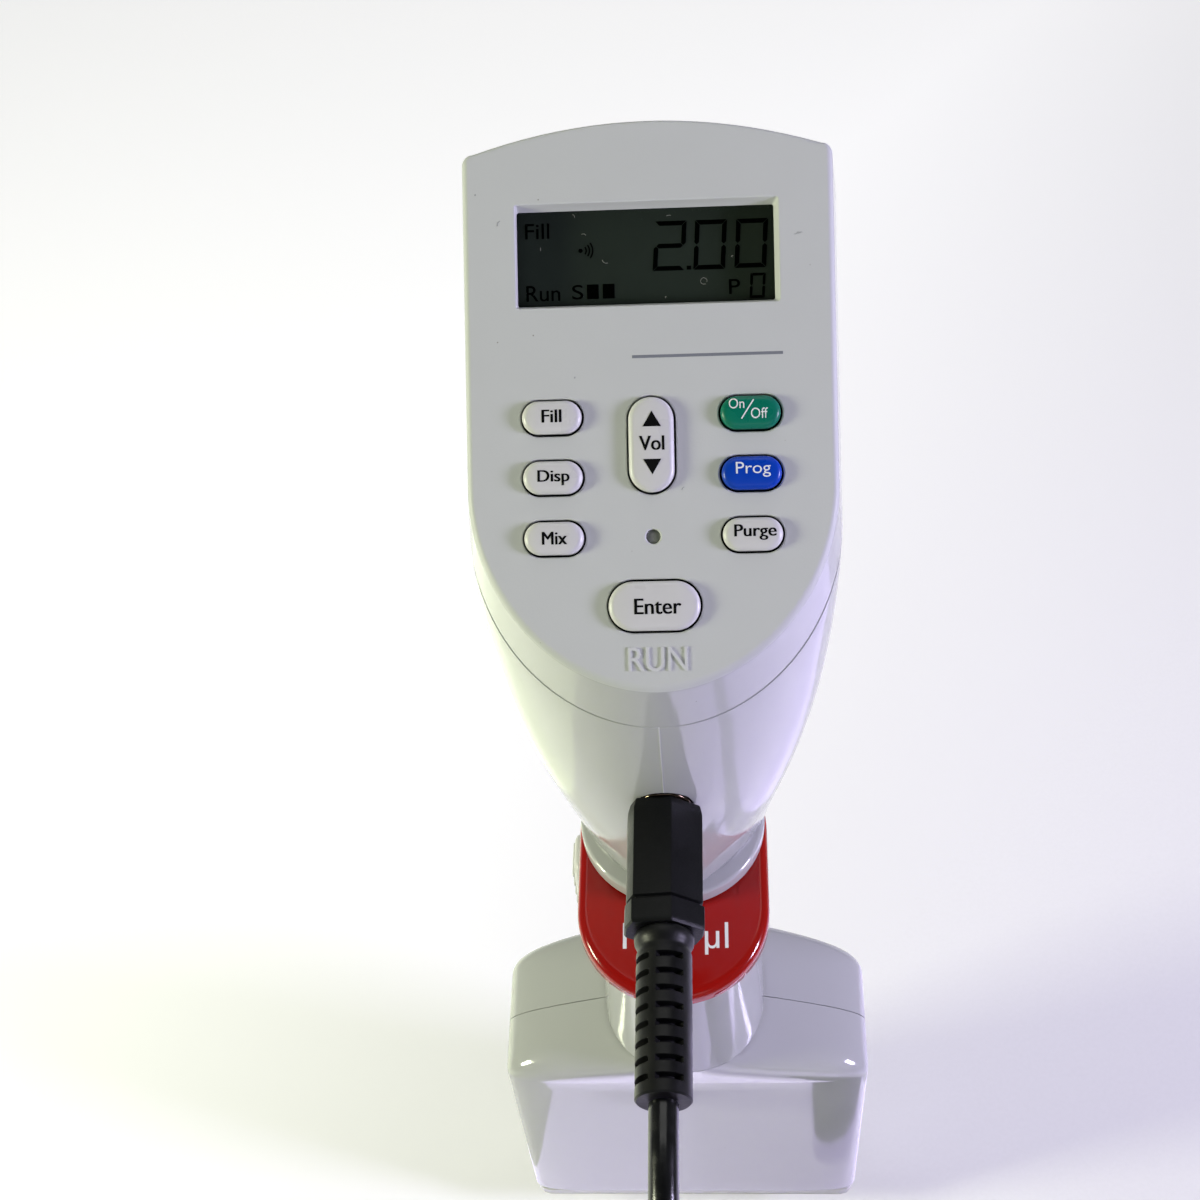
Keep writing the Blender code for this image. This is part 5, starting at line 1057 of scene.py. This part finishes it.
# Plug's outlines along its axis: a rounded octagon, scaled, drawn in at the groove and rolled
def makePlug():
    wallY, z, ring, proud, bore = jack["wall"] + handleY, jack["z"], jack["ring"], jack["proud"], jack["bore"]
    profile = ringEdge(ring, proud, 0.0005, 6)
    profile += [(ring, -0.0043), (bore, -0.0043), (bore, proud - 0.0003), (bore + 0.0003, proud)]
    addPiece("socket_bezel", lathe("socket_bezel", profile, (0, wallY, z), (0, -1, 0), steps=96, ring=True),
             "casing", finish["darkBronze"], ["socket_ring"])
    frontY = wallY - proud - 0.0001
    far, groove = plug["length"], plug["groove"]
    along = np.concatenate([[0, 0.0002, 0.0005, 0.0012, 0.0017], np.linspace(0.0022, groove - 0.0012, 12),
                            groove + plug["grooveHalf"] * np.array([-2, -1.1, -1, -0.5, 0, 0.5, 1, 1.1, 2]),
                            [0.0222, 0.0232, 0.0238, 0.0243, far]])
    scale = np.interp(along, [0, 0.0002, 0.0005, 0.0017, 0.0022, groove, groove + 0.0004, 0.0243, far],
                      [0.90, 0.92, 0.93, 0.97, 0.975, 0.97, 1.01, 1.01, 0.97])
    inGroove = np.clip(1.1 - np.abs(along - groove) / plug["grooveHalf"], 0, 0.6) / 0.6
    cosine, sine = math.cos(plug["roll"]), math.sin(plug["roll"])
    rings = []
    for v, s, g in zip(along, scale, inGroove):
        wide, shoulder, ridge = plug["half"] * s, plug["shoulder"] * s, plug["ridge"] * s
        corners = [(wide, 0), (0.93 * wide, shoulder), (0, ridge), (-0.93 * wide, shoulder), (-wide, 0),
                   (-0.93 * wide, -shoulder), (0, -ridge), (0.93 * wide, -shoulder)]
        outline = roundedLine(corners, plug["corner"], 4, closed=True)
        reach = np.hypot(*outline.T)[:, None]
        outline = outline * (1 - g * plug["grooveDepth"] / reach) @ [[cosine, -sine], [sine, cosine]]
        rings.append(np.column_stack([outline[:, 0], np.full(len(outline), frontY - v), z + outline[:, 1]]))
    tip = lathe("plug_tip", [(0, 0.0005), (0.0028, 0.0005), (0.0028, -0.0088), (0.0021, -0.0095),
                             (0, -0.0095)], (0, frontY, z), (0, -1, 0), steps=64)
    addPiece("plug_shell", carve(loft("plug_shell", rings, 30), [tip], "UNION", 30), "casing",
             finish["blackPolyamide"], ["plug_body"])
    makeSleeve(frontY - far - gap, z)


# Sleeve: a flared round head, then a barrel whose slots leave rings joined by webs. The radius falls where a
# row's wave along the sleeve and a wave round it both say slot
def makeSleeve(startY, z):
    length, barrel, neck, flare, rows, headLength, tail, webs = sleeve.values()
    pitch = (length - headLength - tail) / rows
    along = np.concatenate([[0, 0.0002, 0.0006, 0.0012, 0.002, 0.0025, 0.003, 0.0035],
                            np.linspace(headLength, length - tail, rows * 16 + 1),
                            [length - 0.0008, length - 0.0003, length - 0.0001, length]])
    base = np.interp(along, [0, 0.0002, 0.0006, 0.0018, 0.0032, 0.004, length - 0.0003, length],
                     [flare - 0.0005, flare - 0.0002, flare, flare, 0.0045, barrel, barrel, barrel - 0.0003])
    turn = np.linspace(0, 2 * np.pi, 144, endpoint=False)
    phase = (along - headLength) / pitch
    inRows = (phase > 0) & (phase < rows)
    # Slot's share of a row: a raised cosine, cut to a flat floor with steep walls
    across = np.clip((np.cos(2 * np.pi * (phase - 0.5)) - 0.5) * 6, 0, 1) * inRows
    # Two narrow webs and two wide ones join the rings, each by its middle and half width in degrees
    around = np.ones(len(turn))
    for middle, half in webs:
        away = np.abs((np.degrees(turn) - middle + 180) % 360 - 180)
        around = np.minimum(around, np.clip((away - half) / 4, 0, 1))
    radius = base[:, None] - (barrel - neck) * across[:, None] * around
    x, up = np.cos(turn)[None] * radius, np.sin(turn)[None] * radius
    rings = np.stack([x, np.broadcast_to(startY - along[:, None], x.shape), z + up], -1)
    addPiece("bend_sleeve", loft("bend_sleeve", rings, 35), "casing", finish["blackRubber"],
             ["strain_relief"])


makePlug()
print("hook, plug and sleeve made")


# Run trigger: rounded level sections with a crowned outer face and shallow grip ribs
def makeTrigger():
    behind, backing, tab = trigger["behind"], trigger["backing"], trigger["tab"]
    line = triggerLine(0.0, 60)
    ends = []
    for tabs in ([trigger["bottom"] - tab * 0.6, trigger["bottom"]], [trigger["top"], trigger["top"] + tab]):
        ends.append(np.column_stack([farWallAt(tabs) - behind, tabs]))
    first, last = trigger["ribRows"]
    ribs = (1 - np.cos(2 * np.pi * np.arange(last - first) / trigger["ribEvery"])) / 2
    line[first:last, 0] -= trigger["ribDepth"] * ribs
    half, crown, rings = trigger["width"] / 2, trigger["crown"], []
    for y, z in np.vstack([ends[0], line, ends[1]]):
        inner = farWallAt(z) - behind - backing
        turn = np.linspace(0, np.pi / 2, 8)
        edge = min(trigger["edge"], (y - inner) * 0.7)
        corner = np.column_stack([half - edge + edge * np.cos(turn), y - crown - edge + edge * np.sin(turn)])
        share = np.linspace(1, 0, 7)[1:]
        top = np.column_stack([(half - edge) * share, y - crown * share ** 2])
        side = np.vstack([[(half, inner)], corner, top])
        rings.append(levelRing(np.vstack([side, side[-2::-1] * [-1, 1]]), z, (0, handleY)))
    addPiece("trigger_lever", loft("trigger_lever", rings, 40), "trigger", finish["urethaneWhite"],
             ["run_trigger"])


# Manifold covers: the grip's oval opens out into a long rounded box over the eight channels. The two halves
# meet a hair apart at the split, and two screws hold the rear one
manifold = {"top": -0.0743, "end": -0.1631, "shoulder": 0.014, "wall": 0.0018, "split": -0.001,
            "apart": 0.0001, "far": 0.015, "screwX": 0.038, "screwZ": -0.150, "screwSeat": 0.0015}
screwHole = [(0, 0.02), (0.0024, 0.02), (0.0024, -0.0022), (0.0013, -0.0022), (0.0013, -0.008), (0, -0.008)]
screwHead = [(0, 0.0012), (0.0015, 0.0012), (0.002, 0.0009), (0.0021, 0.0006), (0.0021, 0.0),
             (0.001, 0.0), (0.001, -0.0085), (0, -0.0085)]


def makeManifold():
    topZ, endZ, shoulder, far = (manifold[k] for k in ("top", "end", "shoulder", "far"))
    share = np.concatenate([np.linspace(0, 1, 22), np.ones(14)])
    z = np.concatenate([topZ - shoulder * np.linspace(0, 1, 22), np.linspace(topZ - shoulder, endZ, 15)[1:]])
    ease = np.sin(np.pi / 2 * share)
    covers = []
    for inset in (0.0, manifold["wall"]):
        outline = wholeRing(nosedHalf(blend(0.0378, 0.087, ease) - 2 * inset,
                                      blend(-0.020, -0.017, share) + inset,
                                      blend(0.0208, far, share) - inset, blend(0.0204, 0.008, ease) - inset,
                                      blend(2.2, 7.0, share ** 2), blend(0.015, 0.004, ease) - inset, 0.0))
        levels = z.copy()
        if inset:
            levels[0], levels[-1] = topZ + 0.01, endZ - 0.01
        rows = np.concatenate([outline, np.broadcast_to(levels[:, None, None], outline.shape[:2] + (1,))], -1)
        covers.append(rows + [0, handleY, 0])
    screws = ((-manifold["screwX"], "left"), (manifold["screwX"], "right"))
    for side, word in ((-1, "front"), (1, "rear")):
        edge = handleY + manifold["split"] + side * manifold["apart"]
        near, away = (edge, 0.3) if side < 0 else (-0.3, edge)
        tools = [loft("core_tool", covers[1]), blockMesh("other_tool", (-0.2, near, -0.3), (0.2, away, 0.1))]
        if side > 0:
            tools += [lathe("screw_tool", screwHole, (x, handleY + far, manifold["screwZ"]), (0, 1, 0),
                            steps=48) for x, _ in screws]
        name = word + "_cover_skin"
        addPiece(name, carve(loft(name, covers[0]), tools), "casing", finish["glossAbs"],
                 ["manifold_" + word + "_cover"])
    seatY, z = handleY + (far - manifold["screwSeat"]), manifold["screwZ"]
    for x, word in screws:
        name = "screw_head_" + word
        slot = [blockMesh("drive", (x - a, seatY + 0.0005, z - b), (x + a, 0.06, z + b))
                for a, b in ((0.0012, 0.00022), (0.00022, 0.0012))]
        mesh = lathe(name, screwHead, (x, seatY, z), (0, 1, 0), steps=48)
        addPiece(name, carve(mesh, slot, angle=30), "casing", finish["turnedSteel"],
                 ["cover_screw_" + word])


# Nozzles: turned cones with seal grooves, bored through
nozzle = {"count": 8, "pitch": 0.009, "y": -0.003, "z": -0.1623,
          "profile": [(0.004, 0), (0.004, -0.0009), (0.0031, -0.0009), (0.0031, -0.0086), (0.00285, -0.0088),
                      (0.00285, -0.0094), (0.0031, -0.0096), (0.0030, -0.0112), (0.00275, -0.0114),
                      (0.00275, -0.012), (0.00293, -0.0122), (0.0026, -0.0193), (0.0024, -0.0197),
                      (0.0013, -0.0197), (0.0013, 0)]}


def makeNozzles():
    for i in range(nozzle["count"]):
        place = (nozzle["pitch"] * (i - (nozzle["count"] - 1) / 2), handleY + nozzle["y"], nozzle["z"])
        mesh = lathe("channel", nozzle["profile"], place, steps=56, angle=30, ring=True)
        addPiece("nozzle_cone_%d" % (i + 1), mesh, "casing", finish["milkyPolypropylene"],
                 ["nozzle_%d" % (i + 1)])


# Ejector's button: a rounded pad with four grip ribs, and the stem and arm that reach the rod
def makeEjector():
    padX, padY, padZ = button["pad"]
    stemY, stemZ = button["stem"]
    edge, ribHalf = 0.0012, 0.0006
    sideX, y, z = -0.0189 - gap, handleY + button["y"], button["z"]
    rings = []
    for x, inset in [(0, 0)] + [(padX - edge + edge * math.sin(t), edge * (1 - math.cos(t)))
                                for t in np.linspace(0, np.pi / 2, 8)]:
        outline = stadium(padY, padZ, padY / 3, -inset, 12)
        rings.append(np.column_stack([np.full(len(outline), sideX - x), y + outline[:, 0],
                                      z + outline[:, 1]]))
    ribs = [blockMesh("rib", (sideX - padX - ribHalf, y - padY * 0.36, z + k * 0.004 - ribHalf),
                      (sideX - padX / 2, y + padY * 0.36, z + k * 0.004 + ribHalf), 0.0003)
            for k in (-1.5, -0.5, 0.5, 1.5)]
    armZ = button["stemZ"] - stemZ / 2
    stem = blockMesh("stem", (sideX - padX / 2, y - stemY / 2, armZ - gap),
                     (-0.0075, y + stemY / 2, button["stemZ"] + stemZ / 2), 0.0003)
    arm = blockMesh("arm", (-0.0105, y - stemY * 0.4, armZ), (-0.0045, handleY + 0.01295, armZ + 0.003),
                    0.0003)
    pad = carve(loft("ejector_pad", rings, 45), ribs + [stem, arm], "UNION", 45)
    addPiece("ejector_pad", pad, "ejector", finish["urethaneWhite"], ["ejector_button"])


# Return spring on its ledge: a round wire along a helix, on a mesh of its own
spring = {"turns": 6, "radius": 0.0026, "wire": 0.0004, "travel": 0.009, "steps": 32, "sides": 10}


def makeSpring():
    low, high = (np.array(v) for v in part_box("ejector_spring"))
    wire, steps = spring["wire"], spring["turns"] * spring["steps"]
    centre, length = (low + high) / 2, high[2] - low[2]
    around = np.linspace(0, 2 * np.pi, spring["sides"], endpoint=False)
    step = np.arange(steps + 1)[:, None]
    turn = 2 * np.pi * step / spring["steps"]
    reach = spring["radius"] + wire * np.cos(around)
    height = low[2] + wire + (length - 2 * wire) * step / steps + wire * np.sin(around)
    rings = np.stack([centre[0] + reach * np.cos(turn), centre[1] + reach * np.sin(turn), height], -1)
    piece = addPiece("return_spring", loft("return_spring", rings, 60), "casing", finish["turnedSteel"],
                     ["ejector_spring"])
    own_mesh(piece)


makeTrigger()
makeManifold()
makeNozzles()
makeEjector()
makeSpring()
print("trigger, manifold and ejector made")


# Procedural finishes for the CAD pieces that show only when the instrument is opened or moved
inner = {"cover_plastic": "satinAbs", "body_plastic": "glossAbs", "key_white": "urethaneWhite",
         "key_green": "urethaneGreen", "key_blue": "urethaneBlue", "hook_plastic": "redPolycarbonate",
         "window_clear": "clearAcrylic", "display_grey": "displayCell", "light_clear": "lightGuide",
         "mat_rubber": "greyRubber", "board_green": "solderMask", "cell_wrap": "shrinkWrap",
         "black_plastic": "blackPolyamide", "black_rubber": "blackRubber", "steel": "turnedSteel",
         "channel_plastic": "milkyPolypropylene"}
for subpart in frame["record"]["subparts"]:
    node = frame["nodes"][subpart["node"]]
    for socket in node.material_slots:
        socket.material = finish[inner[subpart["material_slot"]]]
print("inner pieces finished")


# Bench: a white sweep of paper with painted light: it glows a little from within, brighter at the far left,
# and its dimmer near right is a painted shade
sweep = {"half": 3.0, "below": 0.0001, "tones": ("#dededd", "#e4e4e3"), "across": (1.0, -0.9, 0.0)}


def makeStage():
    bench, size = lead["bench"] - sweep["below"], sweep["half"]
    material = bpy.data.materials.new("paperSweep")
    material.use_nodes = True
    tree = material.node_tree
    shader = tree.nodes["Principled BSDF"]
    where = addNode(tree, "TexCoord").outputs["Object"]
    fibre = addNode(tree, "TexNoise", {"Vector": where, "Scale": 900.0, "Detail": 2.0})
    tone = addNode(tree, "Mix", {0: fibre.outputs["Fac"], 6: linear(sweep["tones"][0]),
                                 7: linear(sweep["tones"][1])}, data_type="RGBA")
    tree.links.new(tone.outputs[2], shader.inputs["Base Color"])
    shader.inputs["Roughness"].default_value = 0.9
    # The painted glow falls from the far left to the near right, in metres, as a painted shade towards the
    # right
    across = addNode(tree, "VectorMath", {0: where, 1: sweep["across"]},
                     operation="DOT_PRODUCT").outputs["Value"]
    paintedGlow = addNode(tree, "MapRange", {"Value": across, "From Min": -0.35, "From Max": 0.2, "To Min": 0.55,
                                      "To Max": 0.02})
    tree.links.new(paintedGlow.outputs["Result"], shader.inputs["Emission Strength"])
    shader.inputs["Emission Color"].default_value = linear("#ffffff")
    mesh = buildMesh("bench_sweep", [(-size, -size, bench), (size, -size, bench), (size, size, bench),
                                     (-size, size, bench)], [[0, 1, 2, 3]], closed=False)
    mesh.materials.append(material)
    floor = bpy.data.objects.new("bench_sweep", mesh)
    bpy.context.collection.objects.link(floor)


# Area light aimed at a point, or facing straight up and turned by yaw
def addLight(name, place, aim, size, power, colour, yaw=0.0, mirrored=False):
    data = bpy.data.lights.new(name, "AREA")
    data.shape = "RECTANGLE"
    data.size, data.size_y = size
    data.energy = power
    data.color = linear(colour)[:3]
    light = bpy.data.objects.new(name, data)
    bpy.context.collection.objects.link(light)
    light.location = place
    if aim is None:
        light.rotation_euler = (math.pi, 0, math.radians(yaw))
    else:
        direction = np.array(aim, float) - place
        direction /= np.linalg.norm(direction)
        heading = math.atan2(direction[1], direction[0]) - math.pi / 2
        light.rotation_euler = (math.acos(-direction[2]), 0, heading)
    light.visible_camera = False
    light.visible_diffuse = not mirrored


makeStage()
# Soft light from above and in front; a window low on the left and a lilac panel on the right. Power is
# radiance times pi times area. The low panels lie face up at the sides: only the gloss below the face shows
# them, with sharp edges
for name, *light in (
        ("top_softbox", (0, 0.5, 0.95), (0, 0.03, 0.05), (0.9, 0.7), 2.2, "#fffffc"),
        ("front_softbox", (0, -0.85, 0.6), (0, 0.03, 0.1), (0.9, 0.35), 0.95, "#fbfcff"),
        ("low_front_strip", (0, -1.0, 0.06), (0, 0, 0.1), (1.4, 0.08), 0.5, "#fbfcff"),
        ("left_window", (-0.6, -0.12, 0.24), (0, 0.04, 0.11), (0.13, 0.13), 3.3, "#fbffdc"),
        ("right_panel", (0.6, -0.12, 0.24), (0, 0.04, 0.11), (0.13, 0.13), 4.4, "#dfd6ff"),
        ("left_low_panel", (-0.31, 0.015, -0.165), None, (0.35, 0.5), 0.42, "#eeffbe", -23.7, True),
        ("right_low_panel", (0.27, -0.08, -0.165), None, (0.30, 0.45), 0.44, "#cfbeff", 15, True),
        ("near_low_panel", (0.045, -0.14, -0.166), None, (0.12, 0.36), 0.16, "#d2c2ff", 12, True)):
    addLight(name, *light)
world = bpy.data.worlds.new("studio")
world.use_nodes = True
tree = world.node_tree
# The room is dimmer behind the viewer, where the display's plate mirrors it
ray = addNode(tree, "NewGeometry").outputs["Incoming"]
toward = addNode(tree, "VectorMath", {0: ray, 1: (0.04, 0.42, -0.91)},
                 operation="DOT_PRODUCT").outputs["Value"]
dim = addNode(tree, "MapRange", {"Value": toward, "From Min": 0.75, "From Max": 0.97, "To Min": 0.14,
                                 "To Max": 0.03})
background = tree.nodes["Background"]
background.inputs["Color"].default_value = linear("#eceff0")
tree.links.new(dim.outputs["Result"], background.inputs["Strength"])
bpy.context.scene.world = world
bpy.context.scene.view_settings.view_transform = "Standard"
print("stage and lights set")
